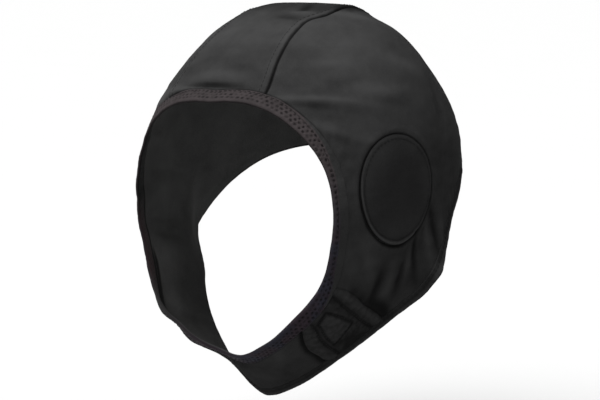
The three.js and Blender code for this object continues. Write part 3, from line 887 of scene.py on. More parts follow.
def mesh_binding(name, colours):
    """A warp-knit mesh with rows of small holes, browner at the brow and darker at the jaw.
    Where it goes by height and side, these are in metres."""
    finish = Finish(name)
    along, across, hole, inside = finish.place_and_face()
    plain = hole.between(-0.1, -0.9)
    hole = finish.maths("MAXIMUM", hole, 0)
    threads = (along / 0.5).wave() * 0.5 + (across / 0.55).wave() * 0.5
    height = finish.axis("Z")
    low = height.between(-0.085, -0.15)
    aside = finish.axis("X")
    blotches = finish.cloud(90)
    bluer = blotches.between(0.35, 0.6) * aside.between(-0.02, 0.02)
    tinted = finish.mix(bluer, colours.binding_low, colours.binding_blue)
    # Painted shade on the binding at the right jaw.
    far_jaw_shade = height.between(-0.155, -0.175) * aside.between(-0.015, -0.045)
    thread = finish.mix(low, colours.binding, tinted)
    thread = finish.mix(far_jaw_shade, thread, shaded(colours.cloth, 0.55))
    # Painted light on the binding beside the face, and a little painted shade lower down.
    painted_light_by_face = height.between(-0.05, -0.07) * 0.3 - height.between(-0.085, -0.105) * 0.15
    shade = finish.cloud(300, detail=3) * 0.6 + threads * 0.3 + blotches * 0.2 + painted_light_by_face
    lit = finish.tones(shade.between(0.2, 0.85), (1, 1, 1), darkest=0.62, lightest=1.42)
    multiply = finish.node("ShaderNodeVectorMath", {"operation": "MULTIPLY"}, {0: thread, 1: lit})
    outer = finish.mix(hole, multiply.outputs["Vector"], colours.binding_hole)
    # Painted shadow on the inner face of the binding up high, browner below, with a painted dark
    # line at the cloth's edge.
    black = shaded(colours.binding_hole, 0.5)
    browner = finish.mix(height.between(-0.115, -0.135), black, colours.binding_brown)
    inner = finish.mix(height.between(-0.16, -0.18), browner, colours.cloth)
    inner = finish.mix(across.between(8.2, 9.2), inner, black)
    specks = finish.cloud(1200, roughness=0.6)
    weave = finish.cloud(42, detail=3) * 0.34 + specks * 0.3 + 0.1
    cloth = finish.tones(weave.between(0, 1), colours.cloth, darkest=0.25, lightest=1.6)
    base = finish.mix(inside, finish.mix(plain, outer, cloth), inner)
    roughness = hole * 0.2 + 0.7
    relief = (threads * 0.1 - hole * 0.25) * (1 - plain) + specks * 0.12
    return finish.surface(base, roughness, gloss=0.06, relief=relief)


def sewing_thread(name, colour):
    finish = Finish(name)
    along, across, _ = finish.place()
    twist = (along / 0.45 + across * 0.5).wave()
    base = finish.tones(twist, colour, darkest=0.7, lightest=1.3)
    return finish.surface(base, roughness=0.7, gloss=0.08, relief=twist * 0.05)


def hook_tape(name, colour):
    finish = Finish(name)
    along, across, _ = finish.place()
    rows = (along / 1.1).wave() * (across / 0.9).wave()
    base = finish.tones(rows, colour, darkest=0.7, lightest=1.6)
    roughness = 0.42 + rows * 0.1
    relief = rows * 0.12 + finish.cloud(1500) * 0.05
    return finish.surface(base, roughness, gloss=0.5, relief=relief)


def pale_floor(name, colour):
    finish = Finish(name)
    base = finish.tones(finish.cloud(6), colour, darkest=0.99, lightest=1)
    return finish.surface(base, roughness=0.9, gloss=0.1)


def length_setting(name, description, default, least, most=1):
    return bpy.props.FloatProperty(
        name=name, description=description, default=default, min=least, max=most, unit="LENGTH"
    )


def colour_setting(name, description, default):
    return bpy.props.FloatVectorProperty(
        name=name, description=description, default=default, size=3, min=0, max=1, subtype="COLOR"
    )


class HairCoverSizes(bpy.types.PropertyGroup):
    """Sizes of the cloth and the sewing."""

    wall: length_setting("Cloth thickness", "Thickness of the cloth", 0.0014, 0.0008, 0.003)
    seam_depth: length_setting("Seam depth", "How far the cloth sinks at a seam", 0.0011, 0, 0.002)
    wale: length_setting("Column width", "Width of a column of loops in the knit", 0.0006, 0.0002)
    course: length_setting("Row height", "Height of a row of loops in the knit", 0.0005, 0.0002)
    mesh_pitch: length_setting("Mesh pitch", "From hole to hole along the binding", 0.0033, 0.001)
    mesh_rows: length_setting("Mesh rows", "From row to row of holes in the binding", 0.0023, 0.001)
    stitch: length_setting("Stitch length", "Length of one stitch", 0.0025, 0.001)
    stitch_gap: length_setting("Stitch gap", "Gap between two stitches", 0.0006, 0.0002)
    thread: length_setting("Thread", "Thickness of the sewing thread", 0.00028, 0.0001)


class HairCoverColours(bpy.types.PropertyGroup):
    """Colours of the cloth, the binding and the thread."""

    cloth: colour_setting("Cloth", "Crown, sides and strap", (0.0205, 0.0205, 0.0206))
    cloth_gloss: bpy.props.FloatProperty(
        name="Cloth gloss",
        description="Strength of the reflection of the stretch cloth",
        default=0.015,
        min=0,
        max=1,
        subtype="FACTOR",
    )
    # Lighter than the outer face: partly the greyer wrong side of the knit, partly painted light
    # for the dim inside.
    cloth_inside: colour_setting("Cloth, inside", "Inner face of the cloth", (0.054, 0.054, 0.0534))
    ear_cloth: colour_setting("Ear cloth", "Ear patches", (0.0142, 0.0142, 0.0143))
    binding: colour_setting("Binding", "Mesh binding at the brow", (0.0168, 0.014, 0.0145))
    binding_low: colour_setting("Binding, jaw", "Binding at the jaw", (0.0132, 0.0094, 0.0122))
    binding_blue: colour_setting("Binding, blue", "Its blue patches", (0.0098, 0.0098, 0.0142))
    binding_hole: colour_setting("Mesh holes", "Holes of the binding", (0.005, 0.0044, 0.0046))
    binding_brown: colour_setting("Binding, inside", "Its inside", (0.018, 0.0115, 0.0125))
    hem: colour_setting("Hem", "Turned hem", (0.0185, 0.0185, 0.0186))
    thread: colour_setting("Thread", "Sewing thread", (0.006, 0.006, 0.0062))
    hooks: colour_setting("Hook tape", "Hook tape in the closure", (0.012, 0.012, 0.012))
    floor: colour_setting("Floor", "Floor", (0.37, 0.37, 0.37))


def settings(context):
    return context.scene.hair_cover_sizes, context.scene.hair_cover_colours


traces = {}  # rows of thread by name: points and normals on the finished cloth


def ruffles(ways):
    """The soft wrinkles and the sharp creases of the worn cloth, in millimetres."""
    level = np.array([6, 6, 19])  # wrinkles run mostly level
    wrinkles = 0.23 * uneven(ways, level, seed=3.1) + 0.14 * uneven(ways, 24, seed=7.7)
    return raised(ways, CREASES) + wrinkles


def soft_shade(relief):
    """The shade of the cloth where it stands high or low. 0 is neither lighter nor darker."""
    return np.clip(relief * 0.7, -1, 0.8)


def inner_shade(ways, from_binding=FAR):
    """The shade of the inner face: darker down at the jaw, with a dark line by the binding and
    a crease beside it at the right jaw."""
    below = -cloth_point(ways)[..., 2]
    low = smoothstep(below, 150, 195)
    crease = rise_and_fall(below, 148, 160, 190, 204) * (ways[..., 0] < 0)
    shade = INNER_FACE - 0.5 * low - 1.2 * bell(from_binding - 0.8, 1.5)
    return np.maximum(shade - 1.1 * crease * bell(from_binding - 4.5, 1.4), INNER_FACE - 1.4)


def seam_tuck(distance, sizes, allowance):
    """The height of the cloth near a seam, with its turned allowance raised a little."""
    turned = rise_and_fall(distance, 0.7, 1.7, 4.4, 5.6)
    return allowance * turned - sizes.seam_depth * MM * bell(distance, 0.75)


def inner_height(relief, sizes, from_seam):
    """The height of the inner face, where the turned allowance of a seam lies on it."""
    return relief - sizes.wall * MM - 0.5 * (1 - smoothstep(from_seam, 5.2, 6.4))


def puckers(run, distance, pitch, height, seed):
    """Small puckers that run off a seam."""
    drift = [noise.noise(Vector((x / 24, seed, 0))) for x in run.ravel()]
    drift = np.array(drift).reshape(run.shape)
    return height * np.sin(math.tau * run / pitch + 5 * drift) * np.exp(-distance / 4.5)


def trace_at(points, normals, run, distance):
    """The line across a grid where each of its rows has gone a distance."""
    distances = np.broadcast_to(distance, len(points))
    both = []
    for grid in (points, normals):
        both.append(np.array([found_at(*row) for row in zip(distances, run, grid)]))
    return both


def cloth_piece(name, ways, faces, rims, heights, weave, material, from_binding):
    """A closed wall of cloth, and the points of both its faces."""
    points, faces = closed_wall(ways, faces, rims, *heights)
    lining = weave.copy()
    lining[:, 2] = inner_shade(ways, from_binding)
    return add_mesh(name, points, faces.tolist(), material, np.concatenate([weave, lining])), points


def grid_piece(name, ways, outer, inner, weave, material, from_binding):
    """A closed wall of cloth over a grid of directions, and its outer points and normals."""
    at = numbered(ways.shape[:2])
    faces = grid_faces(at).reshape(-1, 4)
    weave = np.stack(np.broadcast_arrays(*weave), -1).reshape(-1, 3)
    heights = outer.ravel(), inner.ravel()
    flat, from_binding = ways.reshape(-1, 3), from_binding.ravel()
    made = cloth_piece(name, flat, faces, [grid_rim(at)], heights, weave, material, from_binding)
    return made[0], made[1][: at.size].reshape(ways.shape), cloth_normal(ways)


def build_crown(sizes, colours):
    halves = []
    for lines in (LEFT, RIGHT):
        area = lines.zone("brow", "seam", lines.crown_midline, lines.seam_of_crown)
        halves.append(area(even_shares(61), even_shares(321)).swapaxes(0, 1))
    rows = np.concatenate([halves[0][:, ::-1], halves[1][:, 1:]], axis=1)
    ways = respaced_grid(rows, row_count=176, column_count=62)
    along, across = grid_runs(ways)
    from_seam = np.minimum(across, across[:, -1:] - across)
    from_face, from_hem = along, along[-1:] - along
    relief = ruffles(ways)
    outer = relief + seam_tuck(from_seam, sizes, allowance=0.35)
    outer += puckers(along, from_seam, pitch=7.5, height=0.2, seed=1.5)
    outer += puckers(across, from_face, pitch=8.5, height=0.22, seed=4.5)
    outer += -0.6 * bell(from_face, 0.8) - 0.3 * bell(from_hem, 0.8)
    inner = inner_height(relief, sizes, from_seam)
    # Painted shade in the seam grooves and by the binding, painted light on the raised seam
    # allowances.
    shade = soft_shade(relief) - 0.9 * bell(from_seam, 0.8) - 0.7 * bell(from_face, 0.7)
    shade += 0.12 * rise_and_fall(from_seam, 1, 2, 4.6, 5.6)
    # Painted light on the forehead, painted shade toward the top and darkest by the seams there.
    shade += 0.45 * bell(along - 54, 30)
    shade -= 1.1 * bell(from_seam, 4) * rise_and_fall(along, 85, 100, 140, 165)
    shade -= (0.2 + 0.22 * smoothstep(along, 70, 92)) * (1 - smoothstep(along, 110, 150))
    middle = across - across[:, -1:] / 2
    cloth = stretch_cloth("crown_stretch_cloth", colours.cloth, sizes, colours)
    weave = along, middle, shade
    piece, shown, normals = grid_piece("crown_cloth", ways, outer, inner, weave, cloth, from_face)
    traces["crown_seam_left"] = trace_at(shown, normals, across, FROM_SEAM_TO_STITCHES)
    back_run = (across[:, -1:] - across)[:, ::-1]
    mirrored = shown[:, ::-1], normals[:, ::-1], back_run
    traces["crown_seam_right"] = trace_at(*mirrored, FROM_SEAM_TO_STITCHES)
    return piece


LOWER_FRONT = math.radians(-117)  # the way from the ear in which its rim stands highest
EAR_HOLE = 1.004  # the size of the hole for the ear patch, as a share of the oval
# Where the rings of points stand between that hole and a square round it.
RING_SHARES = [0, 0.02, 0.045, 0.075, 0.11, 0.15, 0.2, 0.27, 0.36, 0.48, 0.63, 0.81]


def ear_offset(spots):
    """Where spots lie round the ear: the share of the oval, and 1 at its lower front, 0 behind."""
    offset = (spots - (EAR.back, EAR.up)) / (EAR.half_width, EAR.half_height)
    angle = np.arctan2(offset[..., 1], offset[..., 0])
    return np.linalg.norm(offset, axis=-1), 0.5 + 0.5 * np.cos(angle - LOWER_FRONT)


def with_oval_hole(ways, fields, side):
    """A grid with a hole for the ear patch: rings of points join the grid's square opening to
    the oval. Gives the directions, the fields at them, the faces and the loops at the edges."""
    at = numbered(ways.shape[:2])
    spots = spots_of(ways, side)
    near = np.argwhere(ear_offset(spots)[0] < 1.06)
    low, high = near.min(0) - 1, near.max(0) + 1
    block = at[low[0] : high[0] + 1, low[1] : high[1] + 1]
    loop = grid_rim(block)
    quads = grid_faces(at)
    keep = np.ones(quads.shape[:2], bool)
    keep[low[0] : high[0], low[1] : high[1]] = False

    loop_spots = spots.reshape(-1, 2)[loop]
    middle = np.array([EAR.back, EAR.up])
    hole = middle + (loop_spots - middle) * EAR_HOLE / ear_offset(loop_spots)[0][:, None]
    rings = hole + (loop_spots - hole) * np.array(RING_SHARES)[:, None, None]
    flat_fields = fields.reshape(-1, fields.shape[-1])
    ways = np.concatenate([ways.reshape(-1, 3), direction(rings, side).reshape(-1, 3)])
    fields = np.concatenate([flat_fields, np.tile(flat_fields[loop], (len(rings), 1))])
    ring_at = np.concatenate([at.size + numbered(rings.shape[:2]), loop[None]])

    used = np.ones(len(ways), bool)
    used[block[1:-1, 1:-1]] = False
    renumber = np.cumsum(used) - 1
    faces = renumber[np.concatenate([quads[keep], loop_faces(ring_at)])]
    rims = [renumber[grid_rim(at)], renumber[ring_at[0][::-1]]]
    return ways[used], fields[used].T, faces, rims


def build_side(lines, sizes, colours):
    area = lines.zone("seam", "jaw", lines.seam_of_panel, lines.jaw_of_panel)
    rows = area(even_shares(221), even_shares(241))
    ways = respaced_grid(rows, row_count=96, column_count=156)
    along, across = grid_runs(ways)
    fields = np.stack([along, along[-1:] - along, across, across[:, -1:] - across], -1)
    ways, (seam, jaw, face, hem), faces, rims = with_oval_hole(ways, fields, lines.side)
    spots = spots_of(ways, lines.side)
    back, up = spots.T
    out, lower = ear_offset(spots)
    from_ear = (out - EAR_HOLE) * (EAR.half_width + EAR.half_height) / 2 * MAP_SCALE

    relief = ruffles(ways)
    outer = relief + seam_tuck(seam, sizes, allowance=0.1)
    outer += -0.5 * bell(jaw, 1.1) if lines.side > 0 else seam_tuck(jaw, sizes, allowance=0.15)
    # The seam of the binding can't be told from the cloth beside the cheek.
    seam_seen = 1 - rise_and_fall(-cloth_point(ways)[..., 2], 66, 82, 158, 172)
    outer += -0.6 * bell(face, 0.8) * seam_seen - 0.3 * bell(hem, 0.8)
    by_face = puckers(seam + hem, face, pitch=9, height=0.16, seed=2.5)
    outer += by_face + puckers(seam, hem, pitch=8, height=0.14, seed=6.5)
    outer -= (0.6 + 0.5 * lower) * bell(from_ear, 0.55 + 0.9 * lower)
    outer += 0.3 * bell(from_ear - 3, 1.8)

    # Painted shade in the seam grooves, by the binding and in the groove round the ear patch.
    shade = soft_shade(relief) - 0.9 * bell(seam, 0.8) - 0.6 * bell(face, 0.7) * seam_seen
    shade -= (0.55 + 0.35 * lower) * bell(from_ear, 0.5 + 0.9 * lower)
    # Painted shade by the crown seam on top, painted light above the ear and in front of it.
    shade -= 1.3 * bell(seam, 6) * rise_and_fall(face, 88, 102, 140, 165)
    shade += 0.32 * smoothstep(up, 12, 28) * smoothstep(back, -46, -30)
    shade -= 0.12 * smoothstep(face, 60, 90)
    shade -= 0.5 * bell(seam - 8, 8) * rise_and_fall(face, 105, 130, 165, 190)
    shade += 0.25 * bell(np.hypot(back + 35, up + 20), 10)
    # Painted shadow above the tab's ridge at the left jaw, in uneven patches.
    if lines.side > 0:
        blotches = 0.5 + uneven(ways, 12, seed=2.6)
        shade -= 1.2 * blotches * bell(jaw - 1, 4) * smoothstep(face, 6, 16)

    heights = outer, inner_height(relief, sizes, seam)
    weave = np.stack([up * MAP_SCALE, back * MAP_SCALE, shade], -1)
    cloth = stretch_cloth(f"side_stretch_cloth_{lines.word}", colours.cloth, sizes, colours)
    name = f"side_cloth_{lines.word}"
    return cloth_piece(name, ways, faces, rims, heights, weave, cloth, face)[0]


def build_ear_patch(lines, sizes, colours):
    spokes = 144
    angle = np.arange(spokes) * math.tau / spokes
    oval = np.stack([EAR.half_width * np.cos(angle), EAR.half_height * np.sin(angle)], -1)
    middle = np.array([[EAR.back, EAR.up]])
    lower = 0.5 + 0.5 * np.cos(angle - LOWER_FRONT)
    sharp = 0.25 + 0.75 * smoothstep(lower, 0.4, 0.92)  # how sharp the rim is
    out, lift, rim, shade = np.array(EAR_SECTION).T[..., None]
    spots = np.concatenate([middle, (middle + out[..., None] * oval).reshape(-1, 2), middle])
    flat = -0.2 - 0.4 * smoothstep(out, 0.93, 0.99)
    raised_rim = lift + rim * (0.55 * lower - 0.1)
    lifts = np.where(lift > -1, raised_rim * sharp + flat * (1 - sharp), raised_rim)
    lifts = np.concatenate([[EAR_SECTION[0].lift], lifts.ravel(), [EAR_SECTION[-1].lift]])
    # Painted light on the raised rim, strongest at the lower front, and painted shade in the groove
    # round it.
    fades = (out > 0.9) & (out < 0.985)
    shades = (shade + rim * 0.3 * lower) * np.where(fades, sharp, 1)
    shades = np.concatenate([[EAR_SECTION[0].shade], shades.ravel(), [EAR_SECTION[-1].shade]])

    ways = direction(spots, lines.side)
    points = cloth_point(ways) + cloth_normal(ways) * (lifts + ruffles(ways))[:, None]
    at = 1 + numbered((len(EAR_SECTION), spokes))
    beside = np.roll(at, -1, axis=1)
    faces = loop_faces(at).tolist()
    faces += np.stack([0 * at[0], at[0], beside[0]], -1).tolist()
    faces += np.stack([0 * at[0] + at.size + 1, beside[-1], at[-1]], -1).tolist()
    if lines.side > 0:
        faces = [face[::-1] for face in faces]
    shades = np.where(lifts < -1.4, inner_shade(ways), shades)
    weave = np.stack([spots[:, 1] * MAP_SCALE, spots[:, 0] * MAP_SCALE, shades], -1)
    name = f"ear_cloth_{lines.word}"
    cloth = stretch_cloth(name, colours.ear_cloth, sizes, colours, darkest=0.3, lightest=2.2)
    piece = add_mesh(f"ear_patch_cloth_{lines.word}", points, faces, cloth, weave)
    stitched = at[next(k for k, row in enumerate(EAR_SECTION) if row.out >= 0.91)]
    row = np.append(stitched, stitched[0])
    traces[f"ear_{lines.word}"] = [points[row], cloth_normal(ways[row])]
    return piece


def tab_lift(along):
    return np.interp(along, [row.along for row in TAB_LIFT], [row.lift for row in TAB_LIFT])


def corner_lift(along, across):
    """How far the lower corner of the tab's free end stands off the strap."""
    return 0.3 * smoothstep(along, 0.7, 0.95) * smoothstep(across, 0.4, 0.8)


def cut_off(across):
    """How much sooner the tab ends toward the hem, as a share of its length."""
    return TAB_CUT * smoothstep(across, 0.45, 0.8)


def tab_finish(across):
    """Where the tab ends, with rounded corners."""
    rounded = 0.02 * (1 - smoothstep(across, 0, 0.05)) + 0.02 * smoothstep(across, 0.94, 1)
    return 1 - cut_off(across) - rounded


def distance_to(line, x, y):
    """The distance of places on a flat grid from a line of points."""
    nearest = np.full(x.shape, np.inf)
    for (ax, ay), (bx, by) in zip(line[:-1], line[1:]):
        dx, dy = bx - ax, by - ay
        t = np.clip(((x - ax) * dx + (y - ay) * dy) / (dx * dx + dy * dy), 0, 1)
        nearest = np.minimum(nearest, np.hypot(x - ax - t * dx, y - ay - t * dy))
    return nearest


def inside_of(line, x, y):
    """Whether places on a flat grid lie inside a closed line of points."""
    inside = np.zeros(x.shape, bool)
    for (ax, ay), (bx, by) in zip(line[:-1], line[1:]):
        if ay != by:
            inside ^= ((ay > y) != (by > y)) & (x < ax + (y - ay) * (bx - ax) / (by - ay))
    return inside


def between_points(grid, row, column):
    """The value of a grid at a place between its points."""
    i, j = min(int(row), len(grid) - 2), min(int(column), grid.shape[1] - 2)
    p, q = row - i, column - j
    first = grid[i, j] * (1 - q) + grid[i, j + 1] * q
    return first * (1 - p) + (grid[i + 1, j] * (1 - q) + grid[i + 1, j + 1] * q) * p


def build_tab(sizes, colours):
    near = np.array([0, 0.008, 0.016, 0.026, 0.038])
    us = np.concatenate([near, np.linspace(0.05, 0.95, 110), 1 - near[::-1]])
    vs = np.concatenate([near[:4] / 2, np.linspace(0.02, 0.98, 104), 1 - near[3::-1] / 2])
    whole = LEFT.closure(even_shares(161), vs)
    finish = tab_finish(vs)
    ways = [along_line(whole[:, j], us * finish[j]) for j in range(len(vs))]
    ways = normalised(np.stack(ways, 1))
    u, v = us[:, None] * finish, np.broadcast_to(vs, (len(us), len(vs)))
    run, width = grid_runs(ways)
    from_end = run[-1:] - run
    edge = np.minimum(width, width[:, -1:] - width)

    def placed(line):
        """A sewn line in millimetres on the flat tab."""
        found = []
        for along, across in line:
            j = int(np.argmin(np.abs(vs - across)))
            i = int(np.argmin(np.abs(u[:, j] - along)))
            found.append((run[i, j], width[i, j]))
        return found

    def traced(line, steps):
        """A sewn line on the finished tab."""
        places = []
        spots = found_at(even_shares(steps), even_shares(len(line)), np.array(line))
        for along, across in spots:
            column = np.interp(across, vs, np.arange(len(vs)))
            row = np.interp(along, u[:, min(int(column), len(vs) - 2)], np.arange(len(us)))
            places.append((row, column))
        grids = shown, normals
        return [np.array([between_points(grid, *place) for place in places]) for grid in grids]

    sewn = [placed(line) for line in (TAB_FOLD_LINE, TAB_BOX_LINE, TAB_END_LINE)]
    fold, box, end = (distance_to(line, run, width) for line in sewn)
    inside = np.where(inside_of(sewn[1], run, width), smoothstep(box, 0, 2), 0)
    behind_box = smoothstep(v, 0.66, 0.76) * bell(u - 0.5, 0.2)
    ripple = np.sin(width / 1.9 + 1.5)
    relief = ruffles(ways)
    lifted = tab_lift(u) + corner_lift(u, v)
    # A ridge by the jaw seam and one by the free end, with the sewn lines sunk between them.
    outer = relief + lifted
    outer += 0.8 * bell(run - 2.6, 2.8) - 0.3 * bell(run, 0.5) + 0.3 * bell(from_end - 4.5, 3)
    outer -= 0.55 * bell(fold, 1.1) + 0.45 * bell(box, 1) + 0.5 * bell(end, 1.1)
    outer += 0.45 * inside - 0.35 * behind_box
    outer += -0.6 * bell(from_end, 0.5) - 0.4 * bell(edge, 0.7)
    outer += 0.07 * ripple * bell(fold - 2, 2.6)
    inner = relief + (lifted - sizes.wall * MM) - 0.3 * bell(run, 0.6) + 0.2 * bell(from_end, 0.5)
    # Painted light on the ridges by the jaw seam and the free end, painted shade in the sewn lines
    # and beside the box; the whole tab a little darker, in uneven patches.
    shade = 0.3 * bell(run - 3, 3) + 0.15 * bell(from_end - 4, 3.4)
    shade += 0.25 * inside - 0.5 * behind_box
    shade -= 0.55 * bell(fold, 1.15) + 0.5 * bell(box, 1.05) + 0.6 * bell(end, 1.1)
    shade -= 0.12 * (1 + ripple) * bell(fold - 2.2, 1.8)
    shade -= 0.35 * uneven(ways, 40, seed=1.9) + 0.22
    cloth = stretch_cloth("tab_stretch_cloth", colours.cloth, sizes, colours)
    weave = run, width, shade
    piece, shown, normals = grid_piece("tab_cloth", ways, outer, inner, weave, cloth, width)
    traces["tab_fold"] = traced(TAB_FOLD_LINE, 90)
    traces["tab_end"] = traced(TAB_END_LINE, 80)
    traces["tab_box"] = traced(TAB_BOX_LINE, 200)
    return piece


def build_strap(sizes, colours):
    us, vs = even_shares(50), even_shares(181)
    in_view = [RIGHT.closure(us, vs)[:-1], RIGHT.chin(us, vs)]
    in_view.append(LEFT.chin(np.linspace(1, 0, 50), vs)[1:-1])
    covered = LEFT.closure(np.linspace(1, STRAP_END, 30), vs)
    ways = respaced(np.concatenate([*in_view, covered]), 46)
    run, width = grid_runs(ways)
    hem_side = width[:, -1:] - width
    covered_from = run[sum(len(part) for part in in_view)][None]
    covered_from = covered_from + TAB_LENGTH * cut_off(width / width[:, -1:])
    under = smoothstep(run - covered_from, -5, -0.5)
    relief = ruffles(ways)
    middle = relief + STRAP_LIFT + (STRAP_UNDER_TAB - STRAP_LIFT) * under
    sewn = seam_tuck(run, sizes, allowance=0.15)
    sewn += puckers(run, hem_side, pitch=8, height=0.14, seed=3.5)
    outer = middle + (1 - under) * sewn
    outer += -0.4 * bell(width, 0.7) - 0.3 * bell(hem_side, 0.7)
    inner = middle - STRAP_WALL
    # Painted shadow where the strap goes under the tab's end, painted shade in the jaw seam and by
    # the binding.
    shade = soft_shade(relief) - 1.3 * bell(run - covered_from + 0.5, 2.6) - 0.6 * bell(run, 0.8)
    shade -= 0.5 * bell(width, 0.7)
    cloth = stretch_cloth("strap_stretch_cloth", colours.cloth, sizes, colours)
    weave = run, width, shade
    piece, shown, normals = grid_piece("strap_cloth", ways, outer, inner, weave, cloth, width)
    columns = shown.swapaxes(0, 1), normals.swapaxes(0, 1), run.T
    traces["jaw_right"] = trace_at(*columns, JAW_TO_STITCHES)
    return piece


def build_hooks(colours):
    """The hook tape on the tab's inner face, with rows of small hooks toward the strap."""
    ways = LEFT.closure(np.linspace(0.46, 0.78, 49), np.linspace(0.22, 0.66, 49))
    run, width = grid_runs(ways)
    rows, columns = np.sin(math.tau * run / 1.6), np.sin(math.tau * width / 1.4)
    outer = ruffles(ways) - 0.2
    inner = outer - 0.35 - 0.2 * np.maximum(rows, 0) * np.maximum(columns, 0)
    tape = hook_tape("hook_tape", colours.hooks)
    return grid_piece("hook_tape", ways, outer, inner, (run, width, 0 * run), tape, width)[0]


# The two turned bands. Rim and cloth name their edges, cut is how many fine steps sooner than
# the tab a band ends, and thread is where its rows of stitches run, as shares of its width.
Band = namedtuple("Band", "name rim cloth width section meshed cut thread")
BANDS = [
    Band(
        name="face_binding_mesh",
        rim="face_rim",
        cloth="face_band",
        width=BINDING_WIDTH,
        section=BINDING_SECTION,
        meshed=True,
        cut=0,
        thread=[],
    ),
    Band(
        name="neck_hem_cloth",
        rim="hem_rim",
        cloth="hem_band",
        width=HEM_WIDTH,
        section=HEM_SECTION,
        meshed=False,
        cut=7,
        thread=[0.65, 0.83],
    ),
]


def mesh_holes(ways, along, off, shown, sizes):
    """How far each place of the binding lies in a hole, in three rows of holes."""
    pitch, spacing = sizes.mesh_pitch * MM, sizes.mesh_rows * MM
    from_middle = off - 0.5 * shown - 0.5
    row = np.round(from_middle / spacing)
    cell = along / pitch + 0.5 * (row % 2) + 0.2 * uneven(ways, 60, seed=6.1)
    ahead = (cell - np.round(cell)) * pitch
    hole = 1 - smoothstep(np.hypot(ahead * 0.75, from_middle - row * spacing), 0.35, 1)
    hole *= 1 - smoothstep(np.abs(row) * spacing, 0.4 * shown - 0.3, 0.4 * shown + 0.3)
    return hole * (np.abs(row) < 2) * np.clip(0.75 + uneven(ways, 70, seed=8.3), 0, 1)


def build_band(band, material, sizes):
    """A turned band that starts at the tab's free end, goes up the left side, round the right
    side and along the strap, and meets its own start there."""
    jaw, tab, chin = (STATION[mark] * FINE for mark in ("jaw", "tab", "chin"))
    first = tab - band.cut
    spans = [
        (LEFT, np.arange(first, -1, -1), True),
        (RIGHT, np.arange(1, chin + 1), False),
        (LEFT, np.arange(chin - 1, first - 1, -1), False),
    ]
    rims, cloths, lifts = [], [], []
    for lines, stations, on_tab in spans:
        rims.append(direction(getattr(lines, band.rim)[stations], lines.side))
        cloths.append(direction(getattr(lines, band.cloth)[stations], lines.side))
        along = np.clip((stations - jaw) / (tab - jaw), 0, 1)
        lift = tab_lift(along) + (0 if band.meshed else corner_lift(along, 1.0))
        lifts.append(lift * on_tab)
    rim, cloth, lift = np.concatenate(rims), np.concatenate(cloths), np.concatenate(lifts)
    end_gap = 0.04  # of the last step, so that the two ends don't touch
    for edge in (rim, cloth):
        edge[-1] += end_gap * (edge[-2] - edge[-1])

    shares, heights = np.array(band.section).T
    outside, inside = heights > -0.5, heights < -1.35
    bare = heights > -1
    ways = normalised(rim[:, None] * (1 - shares)[:, None] + cloth[:, None] * shares[:, None])
    run = run_along(cloth_point(normalised(rim + cloth)), 0)
    along = np.broadcast_to(run[:, None], ways.shape[:2])
    off = np.broadcast_to(shares * band.width, ways.shape[:2])
    relief = ruffles(ways)
    lift = lift[:, None] * smoothstep(shares, 0.15, 0.95) * outside
    waviness = 0.2 * uneven(ways[:, :1], 22, seed=4.4) + 0.1 * uneven(ways[:, :1], 60, seed=2.8)
    heights = heights + lift + relief + waviness * outside
    if band.meshed:
        shown = np.interp(-cloth_point(rim)[:, 2], *zip(*BINDING_SHOWN))[:, None]
        narrow = shown < 9
        sewn_at = shown - 1.1
        hole = mesh_holes(ways, along, off, shown, sizes)
        heights = heights + np.where(outside, -0.35, 0.3) * hole
        heights = heights - 0.16 * bell(off - sewn_at, 0.5) * outside
        level_edge = (off > 0.8 * band.width) & narrow & bare
        heights = np.where(level_edge, np.maximum(heights, relief + lift), heights)
        plain = smoothstep(off, shown - 0.4, shown + 0.6) * narrow
        # Painted shade at the binding's free edge, carried as if it were a hole.
        third = np.where(inside, INNER_FACE, hole + 0.7 * bell(off, 0.35) - plain)
    else:
        # Painted shade along the stitch line and at the free edge.
        third = soft_shade(relief) - 0.3 * bell(off - 0.64 * band.width, 0.6)
        third = np.where(inside, inner_shade(ways), third)
        flecks = np.clip(0.6 + 2 * uneven(ways, 90, seed=3.7), 0, 1)
        third += 0.9 * flecks * bell(off - 1.7, 0.7) * outside - 1.6 * bell(off, 0.8)
    normals = cloth_normal(ways)
    points = cloth_point(ways) + normals * heights[..., None]
    at, flat = numbered(points.shape[:2]), points.reshape(-1, 3)
    quads = loop_faces(at)
    turned = outward(flat, quads)
    ends = [at[0].tolist(), at[-1][::-1].tolist()]
    if not np.array_equal(turned, quads):
        ends = [end[::-1] for end in ends]
    weave = np.stack([along, off, third], -1).reshape(-1, 3)
    piece = add_mesh(band.name, flat, turned.tolist() + ends, material, weave)
    shown_rows = points[:, outside], normals[:, outside], off[:, outside]
    distances = [share * band.width for share in band.thread]
    if band.meshed:
        distances.append(sewn_at[:, 0])
    for number, distance in enumerate(distances):
        traces[f"{band.name}_{number}"] = trace_at(*shown_rows, distance)
    return piece


Bend = namedtuple("Bend", "share dip girth")
STITCH = [
    Bend(0, -0.3, 0.6),
    Bend(0.12, 0.08, 0.95),
    Bend(0.35, 0.17, 1),
    Bend(0.65, 0.17, 1),
    Bend(0.88, 0.08, 0.95),
    Bend(1, -0.3, 0.6),
]


